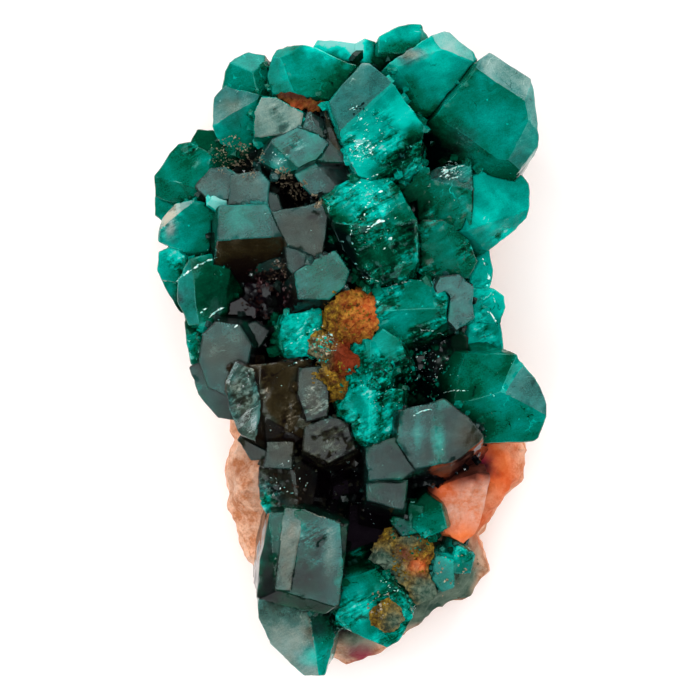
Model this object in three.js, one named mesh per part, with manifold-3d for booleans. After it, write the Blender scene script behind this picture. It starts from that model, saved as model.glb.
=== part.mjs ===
// Dioptase on matrix: a crust of emerald-green dioptase crystals on a sawn slab of iron-stained calcite.
// Millimetres, +Z up. The rock lies on its sawn face at Z = 0 and the crystals point up and outward.

import * as THREE from 'three';
import { ConvexGeometry } from 'three/addons/geometries/ConvexGeometry.js';
import { ImprovedNoise } from 'three/addons/math/ImprovedNoise.js';
import { mergeVertices } from 'three/addons/utils/BufferGeometryUtils.js';
import Module from 'manifold-3d';

const wasm = await Module();
wasm.setup();

// ---- Driving dimensions -----------------------------------------------------------------------------

const GAP = 0.3;                 // clear space left between two pieces that touch
const ROCK_FLANK = 12;           // height of the rock where its top starts, before the crown
const ROCK_CROWN = 2.2;          // how much the middle of the rock rises above that
const ROCK_TOP_REACH = 0.86;     // part of the rock's reach where its flank turns into its top
const ROCK_BUMPS = [             // the broken rock surface: waves per millimetre, and height
  [0.21, 0.9],
  [0.57, 0.5],
];
const ROCK_STEPS = 46;           // points round the rock
const FLARE = 7;                 // degrees that a crystal's sides spread toward its foot
const CRYSTAL_FOOT = 9;          // level at which crystals end inside the rock
const LUMP_ROUGHNESS = 0.35;     // swell and dip of a limonite lump's surface, as a part of its size
const LUMP_WAVES = 2.1;          // swells and dips across a limonite lump
const LUMP_DETAIL = 1;           // how finely a limonite lump is faceted
const WELD = 1e-4;               // vertices closer than this are one vertex
const PARALLEL = 1e-9;           // three planes whose normals span less than this meet in no point

const DIOPTASE = { color: 0x0a7a62, roughness: 0.18, metalness: 0 };
const PALE_DIOPTASE = { color: 0x12a58c, roughness: 0.2, metalness: 0 };
const SMOKY_DIOPTASE = { color: 0x2c4a44, roughness: 0.25, metalness: 0 };
const LIMONITE = { color: 0x9a6018, roughness: 0.95, metalness: 0 };
const CALCITE = { color: 0xe2956f, roughness: 0.6, metalness: 0 };
const MATRIX = { color: 0xd99a7e, roughness: 0.9, metalness: 0 };

// ---- Helpers ----------------------------------------------------------------------------------------

const noise = new ImprovedNoise();

// Unit vector tipped `tilt` degrees from +Z toward the bearing `toward` (degrees, 0 along +X, 90 along +Y).
function direction(tilt, toward) {
  const t = THREE.MathUtils.degToRad(tilt);
  const a = THREE.MathUtils.degToRad(toward);
  return new THREE.Vector3(Math.sin(t) * Math.cos(a), Math.sin(t) * Math.sin(a), Math.cos(t));
}

// The flat face through the point (x, y, z), tipped `tilt` degrees down toward the bearing `toward`.
function facePlane([x, y, z, tilt, toward]) {
  const point = new THREE.Vector3(x, y, z);
  return new THREE.Plane().setFromNormalAndCoplanarPoint(direction(tilt, toward), point);
}

// Height of a tilted plane above the point (x, y).
function heightOf(plane, x, y) {
  return -(plane.normal.x * x + plane.normal.y * y + plane.constant) / plane.normal.z;
}

// The point shared by three planes, or null where two of them are parallel.
function meetingPoint(a, b, c) {
  const bc = new THREE.Vector3().crossVectors(b.normal, c.normal);
  const determinant = a.normal.dot(bc);
  if (Math.abs(determinant) < PARALLEL) return null;
  const ca = new THREE.Vector3().crossVectors(c.normal, a.normal);
  const ab = new THREE.Vector3().crossVectors(a.normal, b.normal);
  return bc.multiplyScalar(-a.constant)
    .addScaledVector(ca, -b.constant)
    .addScaledVector(ab, -c.constant)
    .divideScalar(determinant);
}

// The convex solid behind all of `planes`, each moved out by `grow`.
function solidBehind(planes, grow) {
  const moved = planes.map((plane) => new THREE.Plane(plane.normal.clone(), plane.constant - grow));
  const corners = [];
  for (let i = 0; i < moved.length; i++) {
    for (let j = i + 1; j < moved.length; j++) {
      for (let k = j + 1; k < moved.length; k++) {
        const point = meetingPoint(moved[i], moved[j], moved[k]);
        if (!point || moved.some((plane) => plane.distanceToPoint(point) > WELD)) continue;
        if (corners.every((corner) => corner.distanceTo(point) > WELD)) corners.push(point);
      }
    }
  }
  return toSolid(new ConvexGeometry(corners));
}

// A crystal seen from above. `outline` is the rim of its top, counter-clockwise; its sides run down from the
// rim along the growth direction `lean` [tilt, toward], spreading by `flare` degrees; its top is cut by
// `faces` [x, y, z, tilt, toward]. A crystal hemmed in by others is `swollen` past its rim to meet them.
function crystalPlanes({ outline, lean = [0, 0], faces, foot = CRYSTAL_FOOT, flare = FLARE, swollen = 0 }) {
  const tops = faces.map(facePlane);
  const axis = direction(...lean);
  const rim = outline.map(([x, y]) => {
    const heights = tops.map((top) => heightOf(top, x, y));
    return new THREE.Vector3(x, y, Math.min(...heights));
  });
  const sides = rim.map((corner, i) => {
    const next = rim[(i + 1) % rim.length];
    const square = next.clone().sub(corner).cross(axis).normalize();
    const normal = square.addScaledVector(axis, Math.tan(THREE.MathUtils.degToRad(flare))).normalize();
    const moved = corner.clone().addScaledVector(normal, swollen);
    return new THREE.Plane().setFromNormalAndCoplanarPoint(normal, moved);
  });
  const base = new THREE.Plane(new THREE.Vector3(0, 0, -1), foot);
  return [...tops, ...sides, base];
}

function toSolid(geometry) {
  const bare = geometry.clone();
  bare.deleteAttribute('normal');
  bare.deleteAttribute('uv');
  const merged = mergeVertices(bare, WELD);
  return new wasm.Manifold(new wasm.Mesh({
    numProp: 3,
    vertProperties: new Float32Array(merged.attributes.position.array),
    triVerts: new Uint32Array(merged.index.array),
  }));
}

function toGeometry(solid) {
  const mesh = solid.getMesh();
  const geometry = new THREE.BufferGeometry();
  geometry.setAttribute('position', new THREE.BufferAttribute(new Float32Array(mesh.vertProperties), 3));
  geometry.setIndex(new THREE.BufferAttribute(new Uint32Array(mesh.triVerts), 1));
  const faceted = geometry.toNonIndexed();
  faceted.computeVertexNormals();
  return faceted;
}

const joined = (solids) => solids.reduce((sum, solid) => sum.add(solid));

// The largest body of a solid: a cut can leave loose slivers behind.
function largestBody(solid) {
  const bodies = solid.decompose();
  return bodies.reduce((best, body) => (body.volume() > best.volume() ? body : best));
}

// ---- Matrix rock ------------------------------------------------------------------------------------

// Widest outline of the rock, counter-clockwise from its right-hand corner.
const ROCK_OUTLINE = [
  [15, -4], [12.3, 0], [12.2, 4], [11.8, 8.5], [14.6, 13.5], [14.9, 18], [15.6, 22.5], [13.6, 26],
  [9.6, 28.4], [4.5, 29], [-1.5, 28.4], [-6.5, 28], [-10, 26.3], [-11.6, 22.6], [-15.2, 19.2],
  [-16.8, 15], [-16.8, 10.5], [-15.8, 6.5], [-14, 2.5], [-13.6, -1.5], [-12.2, -5], [-11.3, -8.4],
  [-12.2, -11.4], [-12.8, -13.6], [-11.5, -17], [-10, -21], [-9, -24.5], [-7.2, -27.4], [-4.6, -30],
  [-1.6, -31.2], [1, -31.5], [4, -30], [6.6, -27.3], [9.6, -25.8], [12.7, -24.5], [14, -21.8],
  [13.1, -19.1], [14.6, -17], [16.6, -14.2], [18.6, -11.6], [16.8, -8],
];
const ROCK_CENTRE = [0.5, -1.5];

// Rings of the rock from the middle of its sawn face, up its flank and in to its crown:
// the part of the outline's reach, and the height.
const ROCK_RINGS = [
  [0.45, 0], [0.9, 0], [0.95, 0.9], [0.985, 3], [1, 6], [0.99, 8.6], [0.95, 10.6], [0.87, ROCK_FLANK],
  [0.7, ROCK_FLANK + 0.35 * ROCK_CROWN],
  [0.5, ROCK_FLANK + 0.7 * ROCK_CROWN],
  [0.28, ROCK_FLANK + ROCK_CROWN],
];

// Hollows in the top of the rock: [x, y, radius, depth].
const ROCK_HOLLOWS = [
  [-8.6, 6.2, 4, 3.2], [1, -14.5, 4.5, 3], [8, -2, 3, 2.2], [8, 20.5, 3.4, 2.4], [-6.5, 15.6, 3, 2],
];

// How far the broken surface stands off the plain shape at a point.
function ruggedness(x, y, z) {
  const waves = ROCK_BUMPS.map(([rate, height]) => height * noise.noise(x * rate, y * rate, z * rate));
  return waves.reduce((sum, wave) => sum + wave);
}

// The rock's surface point on one ring, toward the outline point (px, py).
function rockPoint([px, py], [reach, height], grow) {
  const away = new THREE.Vector2(px - ROCK_CENTRE[0], py - ROCK_CENTRE[1]);
  const length = away.length();
  away.normalize();
  const plainX = ROCK_CENTRE[0] + away.x * length * reach;
  const plainY = ROCK_CENTRE[1] + away.y * length * reach;
  const bump = ruggedness(plainX, plainY, height);
  const sawn = height === 0;
  const out = length * reach + (sawn ? 0 : bump) + (reach > ROCK_TOP_REACH ? grow : 0);
  const dip = ROCK_HOLLOWS.reduce((sum, [x, y, radius, depth]) => {
    const span = Math.hypot(plainX - x, plainY - y) / radius;
    return sum + depth * Math.exp(-span * span);
  }, 0);
  const rise = sawn ? -grow : (height >= ROCK_FLANK ? bump - dip + grow : 0);
  return [ROCK_CENTRE[0] + away.x * out, ROCK_CENTRE[1] + away.y * out, height + rise];
}

// The rock as a solid, with its surface moved out by `grow`.
function rock(grow = 0) {
  const corners = ROCK_OUTLINE.map(([x, y]) => new THREE.Vector3(x, y, 0));
  const rounded = new THREE.CatmullRomCurve3(corners, true).getSpacedPoints(ROCK_STEPS);
  const outline = rounded.slice(0, ROCK_STEPS).map((point) => [point.x, point.y]);
  const crownHeight = ROCK_FLANK + ROCK_CROWN + grow;
  const points = [[...ROCK_CENTRE, -grow]];
  for (const ring of ROCK_RINGS) points.push(...outline.map((point) => rockPoint(point, ring, grow)));
  points.push([...ROCK_CENTRE, crownHeight]);
  const at = (ring, step) => 1 + ring * ROCK_STEPS + (step % ROCK_STEPS);
  const triangles = [];
  const last = ROCK_RINGS.length - 1;
  for (let step = 0; step < ROCK_STEPS; step++) {
    triangles.push(0, at(0, step + 1), at(0, step));
    for (let ring = 0; ring < last; ring++) {
      triangles.push(at(ring, step), at(ring, step + 1), at(ring + 1, step + 1));
      triangles.push(at(ring, step), at(ring + 1, step + 1), at(ring + 1, step));
    }
    triangles.push(at(last, step), at(last, step + 1), points.length - 1);
  }
  const geometry = new THREE.BufferGeometry();
  geometry.setAttribute('position', new THREE.Float32BufferAttribute(points.flat(), 3));
  geometry.setIndex(triangles);
  return toSolid(geometry);
}

// ---- Limonite lumps ---------------------------------------------------------------------------------

// A crumbly lump: a ball squashed to `size` and turned about Z, with a rough surface.
function lump({ centre, size, turn = 0 }) {
  const geometry = new THREE.IcosahedronGeometry(1, LUMP_DETAIL);
  const position = geometry.attributes.position;
  const point = new THREE.Vector3();
  for (let i = 0; i < position.count; i++) {
    point.fromBufferAttribute(position, i);
    const swell = noise.noise(
      point.x * LUMP_WAVES + centre[0],
      point.y * LUMP_WAVES + centre[1],
      point.z * LUMP_WAVES,
    );
    point.multiplyScalar(1 + LUMP_ROUGHNESS * swell);
    point.multiply(new THREE.Vector3(...size));
    point.applyAxisAngle(new THREE.Vector3(0, 0, 1), THREE.MathUtils.degToRad(turn));
    position.setXYZ(i, point.x + centre[0], point.y + centre[1], point.z + centre[2]);
  }
  return toSolid(geometry);
}

const LUMPS = {
  limonite_centre: [
    { centre: [0.2, 3.4, 21], size: [3.2, 3, 2.6] },
    { centre: [-0.5, -0.6, 20.7], size: [1.9, 2.1, 2.3] },
    { centre: [-1.8, -2.9, 20.5], size: [1.6, 2.3, 2.2], turn: 20 },
    { centre: [-2.6, 0.6, 20.5], size: [1.6, 1.6, 2.2] },
  ],
  limonite_upper: [{ centre: [-4.7, 24.5, 20.4], size: [2.7, 1.2, 1.5], turn: -12 }],
  limonite_lower: [
    { centre: [5.3, -20.3, 15.6], size: [3, 2.7, 3] },
    { centre: [6.4, -23.1, 14.6], size: [2.6, 2.2, 3] },
  ],
  limonite_bottom: [{ centre: [3.5, -26.2, 17.5], size: [1.7, 2, 1.3] }],
};

// ---- Crystals ---------------------------------------------------------------------------------------

// Each entry is one piece: the crystals in its list have grown into each other. Pieces nearer the front of
// the table keep their full shape, and those after them stop short of them.
const CRYSTALS = {
  calcite_block: {
    look: CALCITE,
    crystals: [
      {
        outline: [[7.7, -15.2], [9.4, -18.2], [11.5, -19.3], [12.5, -18.6], [13.5, -16], [13.7, -12.6],
          [12.6, -12.4], [8.5, -13.8]],
        lean: [14, 300],
        faces: [[10.6, -15.6, 16.6, 9, 200], [12.4, -16, 16.3, 34, 330]],
        foot: 8,
      },
    ],
  },
  crystal_emerald_block: {
    look: PALE_DIOPTASE,
    swollen: 0.25,
    crystals: [
      {
        outline: [[0.1, 19.6], [1.1, 17.6], [3.4, 16.8], [5.8, 17.3], [6.8, 19], [6.9, 22], [6.1, 23.9],
          [4.2, 25.9], [2.6, 28], [1.5, 28.1], [-1.6, 24.5], [-0.7, 22]],
        lean: [6, 60],
        faces: [[1.2, 23.8, 25.2, 12, 132], [1.2, 23.8, 25.2, 18, 312], [4.6, 19, 23.6, 30, 290]],
        flare: 3,
      },
    ],
  },
  crystal_upper_right_outer: {
    look: DIOPTASE,
    crystals: [
      {
        outline: [[9.2, 23], [11.5, 21.3], [15, 19.1], [17, 18.2], [18.6, 20], [18.6, 23.6], [18.1, 26.6],
          [16.5, 27.8], [13.9, 29.4], [13, 28.8]],
        lean: [30, 50],
        faces: [[13.5, 23.5, 23, 19, 245], [14.9, 26.55, 24, 38, 52], [16.5, 20.5, 22.6, 44, 311],
          [18, 23, 23, 62, 5]],
      },
    ],
  },
  crystal_upper_right_inner: {
    look: DIOPTASE,
    crystals: [
      {
        outline: [[3.4, 27.2], [4.6, 25.2], [6.8, 23.7], [9.3, 23.6], [12.9, 28.6], [12.2, 29.6],
          [10, 31.4], [9, 31.6], [7.3, 30.7], [4.2, 29]],
        lean: [24, 80],
        faces: [[7.6, 29.3, 22.6, 21, 291], [7.6, 29.3, 22.6, 13, 111], [11.6, 29.25, 21.6, 46, 53],
          [6.2, 25.7, 21.5, 48, 232]],
      },
    ],
  },
  crystal_top_slab: {
    look: DIOPTASE,
    crystals: [
      {
        outline: [[2.9, 28.3], [5.4, 28.6], [7.6, 29.9], [7.8, 31.2], [7.3, 32.1], [6.3, 32.5], [4.7, 32],
          [3, 31.1]],
        lean: [40, 78],
        faces: [[5.4, 30.9, 18.4, 24, 105], [7, 31.4, 18.4, 50, 20], [5.2, 29.6, 18.9, 40, 262]],
        foot: 8,
      },
    ],
  },
  crystals_top: {
    look: DIOPTASE,
    crystals: [
      {
        outline: [[-8.1, 27], [-7.5, 25.5], [-5, 25.3], [-1.8, 25.1], [0.6, 26.4], [1, 28.9], [-1, 29.7],
          [-4, 30.2], [-5.6, 30.6], [-7.2, 29.7]],
        lean: [26, 98],
        faces: [[-4, 27.6, 20.8, 17, 75], [-6.8, 27.6, 20.6, 38, 185], [-5.5, 30, 20, 52, 110]],
      },
      {
        outline: [[-4.1, 29.2], [0.3, 28.9], [0.9, 30.5], [-1.5, 30.8], [-3.1, 30.9]],
        lean: [48, 92],
        faces: [[-1.6, 30, 16.8, 20, 90]],
      },
      {
        outline: [[0.7, 29.5], [1.6, 28.6], [3.2, 28.6], [3.1, 30.5], [1.6, 31.1], [0.7, 30.5]],
        lean: [44, 86],
        faces: [[1.9, 29.8, 17.2, 22, 80]],
      },
    ],
  },
  crystals_top_left: {
    look: DIOPTASE,
    crystals: [
      {
        outline: [[-12.5, 26], [-9, 25.7], [-8.1, 27.2], [-8.3, 29.2], [-10, 29.6], [-11.2, 29.1],
          [-12.3, 27.6]],
        lean: [34, 118],
        faces: [[-10.9, 27.1, 18.9, 19, 205], [-10, 28.1, 19, 42, 82], [-8.9, 27.2, 18.8, 38, 5]],
      },
      {
        outline: [[-13.6, 22.3], [-12.4, 20.5], [-10.5, 19.9], [-9.3, 21], [-8.8, 25.3], [-12.1, 26.3],
          [-13.4, 25]],
        lean: [30, 150],
        faces: [[-11.1, 23.9, 20.2, 14, 120], [-11.1, 23.9, 20.2, 27, 300]],
      },
      {
        outline: [[-9.2, 21.2], [-5.2, 21.6], [-4.6, 23.5], [-7.3, 25], [-8.7, 25], [-9.3, 23.4]],
        lean: [8, 110],
        faces: [[-7.2, 23, 21.6, 6, 240]],
      },
    ],
  },
  crystals_upper_middle: {
    look: SMOKY_DIOPTASE,
    swollen: 0.4,
    crystals: [
      {
        outline: [[-8.1, 19], [-6.5, 18.2], [-5.4, 18.3], [-3.6, 19.1], [-2.6, 20.4], [-3.4, 21],
          [-5.2, 21.5], [-7.3, 20.4]],
        lean: [12, 30],
        faces: [[-5, 20, 22.4, 7, 100], [-7, 19.2, 22.2, 24, 215]],
      },
      {
        outline: [[-3.4, 19.4], [-2.4, 19], [-0.6, 19.1], [-0.2, 19.7], [-1, 20.4], [-2.7, 20.5]],
        lean: [10, 60],
        faces: [[-1.8, 19.8, 21.9, 10, 60]],
      },
      {
        outline: [[-5.2, 21.6], [-3.4, 20.6], [-1.9, 20.2], [-0.9, 20.9], [-1.6, 22.2], [-3.9, 23.2],
          [-4.9, 23.2]],
        faces: [[-3.2, 21.6, 21.3, 10, 20]],
      },
      {
        outline: [[-1.9, 23.6], [-1.5, 20.9], [-0.7, 19], [0.3, 18.7], [0.4, 20.2], [-0.4, 22.8],
          [-1.2, 24.1]],
        lean: [6, 60],
        faces: [[-0.7, 21.4, 22.2, 16, 215]],
      },
      {
        outline: [[-5.2, 18], [-3.6, 15.8], [-1.2, 15], [0.9, 15.7], [1.6, 17], [-0.4, 18.9],
          [-4, 19]],
        lean: [12, 200],
        faces: [[-3, 17.2, 21.2, 5, 220], [-2.6, 17.2, 21.3, 15, 40]],
      },
    ],
  },
  crystals_left_upper: {
    look: DIOPTASE,
    crystals: [
      {
        outline: [[-19.4, 15.4], [-17.5, 14.8], [-15.4, 15.4], [-14, 17.5], [-13.9, 19.4], [-15.8, 20.7],
          [-17, 20.5], [-18.6, 18.9], [-19.4, 17]],
        lean: [44, 155],
        faces: [[-16.4, 17.8, 18.2, 24, 130], [-17.4, 16.2, 18, 34, 225]],
      },
      {
        outline: [[-15.9, 20.6], [-15, 19.3], [-13.2, 19.2], [-12.4, 20.6], [-13.6, 21.9], [-15.2, 22]],
        lean: [40, 140],
        faces: [[-14.2, 20.8, 17.4, 22, 120]],
      },
      {
        outline: [[-19.5, 13.5], [-18.2, 12.5], [-16.2, 13.8], [-14.6, 15.3], [-15.8, 16], [-18.6, 16],
          [-19.4, 15.4]],
        lean: [40, 185],
        faces: [[-17.4, 14.8, 16.4, 26, 170]],
      },
    ],
  },
  crystals_left_ledge: {
    look: SMOKY_DIOPTASE,
    swollen: 0.4,
    crystals: [
      {
        outline: [[-14.7, 16.3], [-13.9, 15.5], [-11.4, 15.4], [-11.3, 17], [-12.4, 17.7], [-13.6, 17.5]],
        lean: [14, 130],
        faces: [[-12.9, 16.5, 20.6, 9, 200]],
      },
      {
        outline: [[-11.4, 14.3], [-8.6, 14.2], [-8.4, 16.6], [-9, 17.3], [-11.3, 16.9]],
        lean: [6, 90],
        faces: [[-9.9, 15.8, 21.3, 5, 300]],
      },
      {
        outline: [[-8.8, 14.2], [-7.2, 13.9], [-7.5, 15], [-8.7, 15.6]],
        lean: [10, 200],
        faces: [[-8, 14.6, 20.2, 8, 350]],
      },
    ],
  },
  crystal_cyan_chip: {
    look: PALE_DIOPTASE,
    swollen: 0.2,
    crystals: [
      {
        outline: [[-13.9, 14.7], [-12.8, 14], [-11.3, 14], [-11.2, 14.6], [-12, 15.2], [-13.3, 15.4]],
        lean: [10, 150],
        faces: [[-12.5, 14.7, 20.9, 20, 260], [-12.5, 14.7, 20.9, 18, 80]],
      },
    ],
  },
  crystal_trapezoid: {
    look: SMOKY_DIOPTASE,
    swollen: 0.3,
    crystals: [
      {
        outline: [[-12.4, 11.4], [-7.3, 11.6], [-8.3, 14], [-12.6, 14]],
        lean: [30, 84],
        faces: [[-10, 12.8, 22.6, 4, 275]],
      },
    ],
  },
  crystals_left: {
    look: DIOPTASE,
    crystals: [
      {
        outline: [[-18.9, 11], [-17.2, 10.1], [-15.2, 9.7], [-12.8, 10.4], [-12.6, 12.8], [-13.4, 14.4],
          [-15.5, 15], [-17.3, 14.4], [-18.4, 13]],
        lean: [30, 160],
        faces: [[-17.4, 13.2, 19.4, 36, 143], [-17.4, 13.2, 19.4, 18, 290]],
      },
      {
        outline: [[-19.2, 8], [-18.7, 7.1], [-17.2, 6.8], [-16.2, 7.4], [-16.3, 9], [-17.5, 10.4],
          [-18.9, 9.9]],
        lean: [44, 175],
        faces: [[-17.6, 8.7, 17.6, 24, 215]],
      },
      {
        outline: [[-17, 4.6], [-16, 2.5], [-14.2, 2.6], [-12.4, 4.2], [-11.9, 8.2], [-13.3, 9.6],
          [-15.8, 9.1], [-17, 7]],
        lean: [20, 170],
        faces: [[-14.4, 6.2, 19.6, 17, 345], [-16, 5, 19.4, 30, 200]],
      },
      {
        outline: [[-19, 7.3], [-18.4, 6.2], [-16.8, 3.8], [-15.4, 4], [-16.2, 7.4]],
        lean: [48, 195],
        faces: [[-17.4, 6, 14.9, 28, 200]],
      },
      {
        outline: [[-16.9, 3.9], [-16.2, 1], [-16, -1.2], [-14.6, -2], [-13.8, 1], [-15, 4.2]],
        lean: [42, 180],
        faces: [[-15.4, 1.2, 17.4, 22, 190]],
      },
    ],
  },
  crystals_left_lower: {
    look: SMOKY_DIOPTASE,
    swollen: 0.25,
    crystals: [
      {
        outline: [[-14.6, -1.2], [-13.9, -3.4], [-12.2, -4.2], [-10.6, -2.4], [-10.1, 0.4],
          [-11.1, 2.2], [-13.2, 2.5], [-14.3, 1.5]],
        lean: [14, 200],
        faces: [[-12.2, -0.2, 21.2, 7, 220]],
      },
      {
        outline: [[-15.6, -1.7], [-14.8, -4.3], [-12.9, -6.5], [-11.4, -6.6], [-11.5, -3], [-13.4, -1]],
        lean: [36, 205],
        faces: [[-13.4, -3.4, 19.4, 11, 235]],
      },
      {
        outline: [[-11.6, 2.2], [-10.3, 0.4], [-9.4, 0.4], [-8.4, 1.8], [-9.4, 2.4]],
        faces: [[-10, 1.6, 19.8, 12, 20]],
      },
    ],
  },
  crystal_olive: {
    look: SMOKY_DIOPTASE,
    swollen: 0.4,
    crystals: [
      {
        outline: [[-11.8, -4], [-11, -6.2], [-9.7, -8.2], [-6, -9], [-4, -8], [-2.6, -5.5], [-2.9, -3],
          [-4.4, -1.5], [-8.5, -1.6], [-10.4, -2.1]],
        lean: [14, 170],
        faces: [[-9, -4.6, 22.6, 12, 185], [-9, -4.6, 22.6, 20, 350], [-3.8, -4.4, 21.4, 30, 5],
          [-7, -8, 21.2, 40, 262]],
      },
      {
        outline: [[-11.8, -3.2], [-11.4, -5.8], [-10.4, -8], [-9.6, -8.4], [-9.2, -5], [-9.8, -2.2],
          [-11.1, -1.7]],
        lean: [14, 170],
        faces: [[-9.6, -5, 22.9, 22, 188]],
      },
      {
        outline: [[-4.5, -2.3], [-4.7, -4.4], [-4, -6.5], [-2.7, -6.2], [-2.5, -3.4], [-3.1, -2.1]],
        lean: [8, 20],
        faces: [[-3.5, -4.2, 22.2, 9, 40]],
      },
    ],
  },
  crystals_centre_left: {
    look: SMOKY_DIOPTASE,
    swollen: 0.5,
    crystals: [
      {
        outline: [[-7, 13.1], [-6.4, 11.9], [-5.9, 10.9], [-3.2, 9.9], [-2.6, 13], [-3, 13.9]],
        lean: [10, 60],
        faces: [[-4.6, 12.1, 22.8, 8, 290]],
      },
      {
        outline: [[-8.2, 8.5], [-7, 8.6], [-5.9, 9.9], [-5.8, 11.2], [-6.8, 11.9], [-7.5, 10.2]],
        lean: [12, 30],
        faces: [[-7, 9.9, 20.4, 22, 215]],
      },
      {
        outline: [[-5.9, 10.2], [-5.7, 8.6], [-5, 7.7], [-3.5, 8.4], [-2.9, 9.3]],
        lean: [10, 60],
        faces: [[-4.7, 9, 22, 6, 220]],
      },
      {
        outline: [[-4.8, 7.3], [-4.5, 5.8], [-2.2, 5.7], [-0.9, 6.6], [-0.6, 7.6], [-1.5, 9.1],
          [-3.4, 8.3]],
        lean: [24, 65],
        faces: [[-2.8, 7.2, 23, 11, 285]],
      },
    ],
  },
  crystal_left_bright: {
    look: PALE_DIOPTASE,
    swollen: 0.4,
    crystals: [
      {
        outline: [[-6.4, 0.4], [-5.6, -0.7], [-3.6, -0.4], [-3.1, 3.4], [-4, 4.9], [-5.4, 4.2],
          [-6.2, 2.2]],
        lean: [16, 35],
        faces: [[-4.8, 2.6, 20.6, 20, 200], [-4.2, 1, 20.6, 24, 250]],
      },
    ],
  },
  crystals_cavity: {
    look: SMOKY_DIOPTASE,
    swollen: 0.5,
    crystals: [
      {
        outline: [[-10, 6.2], [-9.8, 3.7], [-7.8, 3.6], [-7.6, 4.6], [-8, 6.1]],
        lean: [12, 230],
        faces: [[-9, 5, 16.8, 12, 250]],
        foot: 8,
      },
      {
        outline: [[-12, 4], [-11.5, 2.9], [-10, 2.9], [-9.9, 3.8], [-10.8, 4.6]],
        lean: [10, 200],
        faces: [[-11, 3.7, 18.6, 6, 250]],
        foot: 8,
      },
    ],
  },
  crystals_lower_left: {
    look: SMOKY_DIOPTASE,
    swollen: 0.4,
    crystals: [
      {
        outline: [[-10.6, -9], [-9.5, -10.5], [-7.9, -10.2], [-7.6, -8.2], [-9.6, -7.6]],
        lean: [18, 200],
        faces: [[-9.1, -9.2, 20, 10, 230]],
      },
      {
        outline: [[-8, -11.3], [-6.1, -11.4], [-5.8, -8.6], [-7.5, -7.5]],
        lean: [8, 200],
        faces: [[-7, -9.8, 20.6, 9, 250]],
      },
      {
        outline: [[-4, -9.8], [-2, -10.7], [0.1, -9.6], [-0.4, -7.8], [-2, -7], [-4, -7.3]],
        lean: [8, 100],
        faces: [[-2, -8.8, 21.7, 8, 300]],
      },
      {
        outline: [[-8.6, -12], [-8.5, -14.6], [-6.5, -15.9], [-4.2, -15.5], [-3.8, -12.5], [-5.5, -10.8],
          [-7.8, -11]],
        lean: [12, 200],
        faces: [[-6.4, -13.4, 18.8, 16, 210], [-5, -13.4, 18.8, 30, 350]],
      },
      {
        outline: [[-8.4, -15.2], [-7.7, -16.3], [-6.8, -15.9], [-6.9, -14.6], [-8, -14.2]],
        lean: [24, 220],
        faces: [[-7.6, -15.4, 18.2, 20, 240]],
      },
    ],
  },
  crystal_centre: {
    look: DIOPTASE,
    swollen: 0.35,
    crystals: [
      {
        outline: [[-2.2, 14.9], [-1.2, 12.4], [0.2, 9.6], [2.2, 7.1], [5.4, 7.6], [6.3, 9], [6.4, 12.3],
          [4.9, 15.4], [3.6, 16.8], [0, 16.4]],
        lean: [10, 80],
        faces: [[1.4, 13.6, 24.4, 22, 95], [0.6, 11.6, 24.6, 20, 250], [4.6, 11.5, 23.8, 22, 330]],
      },
      {
        outline: [[-2.7, 13.5], [-2.2, 10.6], [0.4, 8.1], [1.5, 8.6], [0.5, 12.5], [-1.5, 14.6]],
        lean: [12, 100],
        faces: [[-0.8, 11.5, 22.2, 22, 215]],
      },
    ],
  },
  crystal_right_upper: {
    look: DIOPTASE,
    crystals: [
      {
        outline: [[11.7, 12], [13.8, 10], [15.8, 11.4], [17.5, 12.9], [18, 15], [17.7, 16.5], [17, 17.5],
          [14.5, 18], [12.2, 17], [11.6, 14.5]],
        lean: [34, 10],
        faces: [[14, 14.8, 20, 19, 40], [15, 12.6, 19.8, 44, 308]],
      },
    ],
  },
  crystals_right_dark: {
    look: SMOKY_DIOPTASE,
    swollen: 0.5,
    crystals: [
      {
        outline: [[7.3, 15.2], [7.6, 13], [9.5, 12], [11.6, 12.6], [11.7, 15], [11.5, 18], [9, 17.5],
          [7.9, 17]],
        lean: [10, 60],
        faces: [[9.4, 14.6, 20.8, 19, 200], [10, 17, 20.8, 34, 100]],
      },
      {
        outline: [[4.9, 17], [6, 15.2], [7.7, 16], [7.6, 17.6], [5.8, 17.9]],
        lean: [10, 60],
        faces: [[6.4, 16.3, 20.6, 20, 280]],
      },
      {
        outline: [[6.4, 12.4], [7.8, 10.8], [9.9, 12], [9, 14.5], [7, 15.4]],
        lean: [6, 0],
        faces: [[8, 12.9, 19, 20, 230]],
      },
      {
        outline: [[6.4, 9.8], [6.6, 8.6], [9, 7.3], [11.5, 7.8], [12, 9], [11.2, 11.6], [9.5, 12.4],
          [7.6, 12.3]],
        lean: [8, 30],
        faces: [[9, 10, 20.8, 18, 255], [10.8, 9.8, 20.6, 28, 350]],
      },
    ],
  },
  crystal_centre_right: {
    look: DIOPTASE,
    swollen: 0.5,
    crystals: [
      {
        outline: [[3.1, 2.4], [3.8, 1.3], [7, 1.5], [9, 3], [9.2, 5], [8, 6.3], [4.5, 6.5], [3.1, 5.6]],
        lean: [12, 100],
        faces: [[5.8, 4, 22.3, 18, 95], [5.8, 4, 22.3, 26, 272]],
      },
    ],
  },
  crystal_grey_right: {
    look: SMOKY_DIOPTASE,
    swollen: 0.4,
    crystals: [
      {
        outline: [[8.9, 6.2], [9.6, 3.6], [10.7, 2.5], [11.9, 3.3], [11.8, 6], [10.6, 7], [9.2, 6.8]],
        lean: [10, 0],
        faces: [[10.5, 4.9, 22, 6, 350]],
      },
    ],
  },
  crystals_right_rim: {
    look: PALE_DIOPTASE,
    crystals: [
      {
        outline: [[12.2, 6], [13.9, 5.9], [14.2, 8], [13.8, 10.3], [12.6, 10.9], [12, 9]],
        lean: [38, 5],
        faces: [[13, 8.4, 17.2, 24, 10]],
      },
      {
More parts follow.
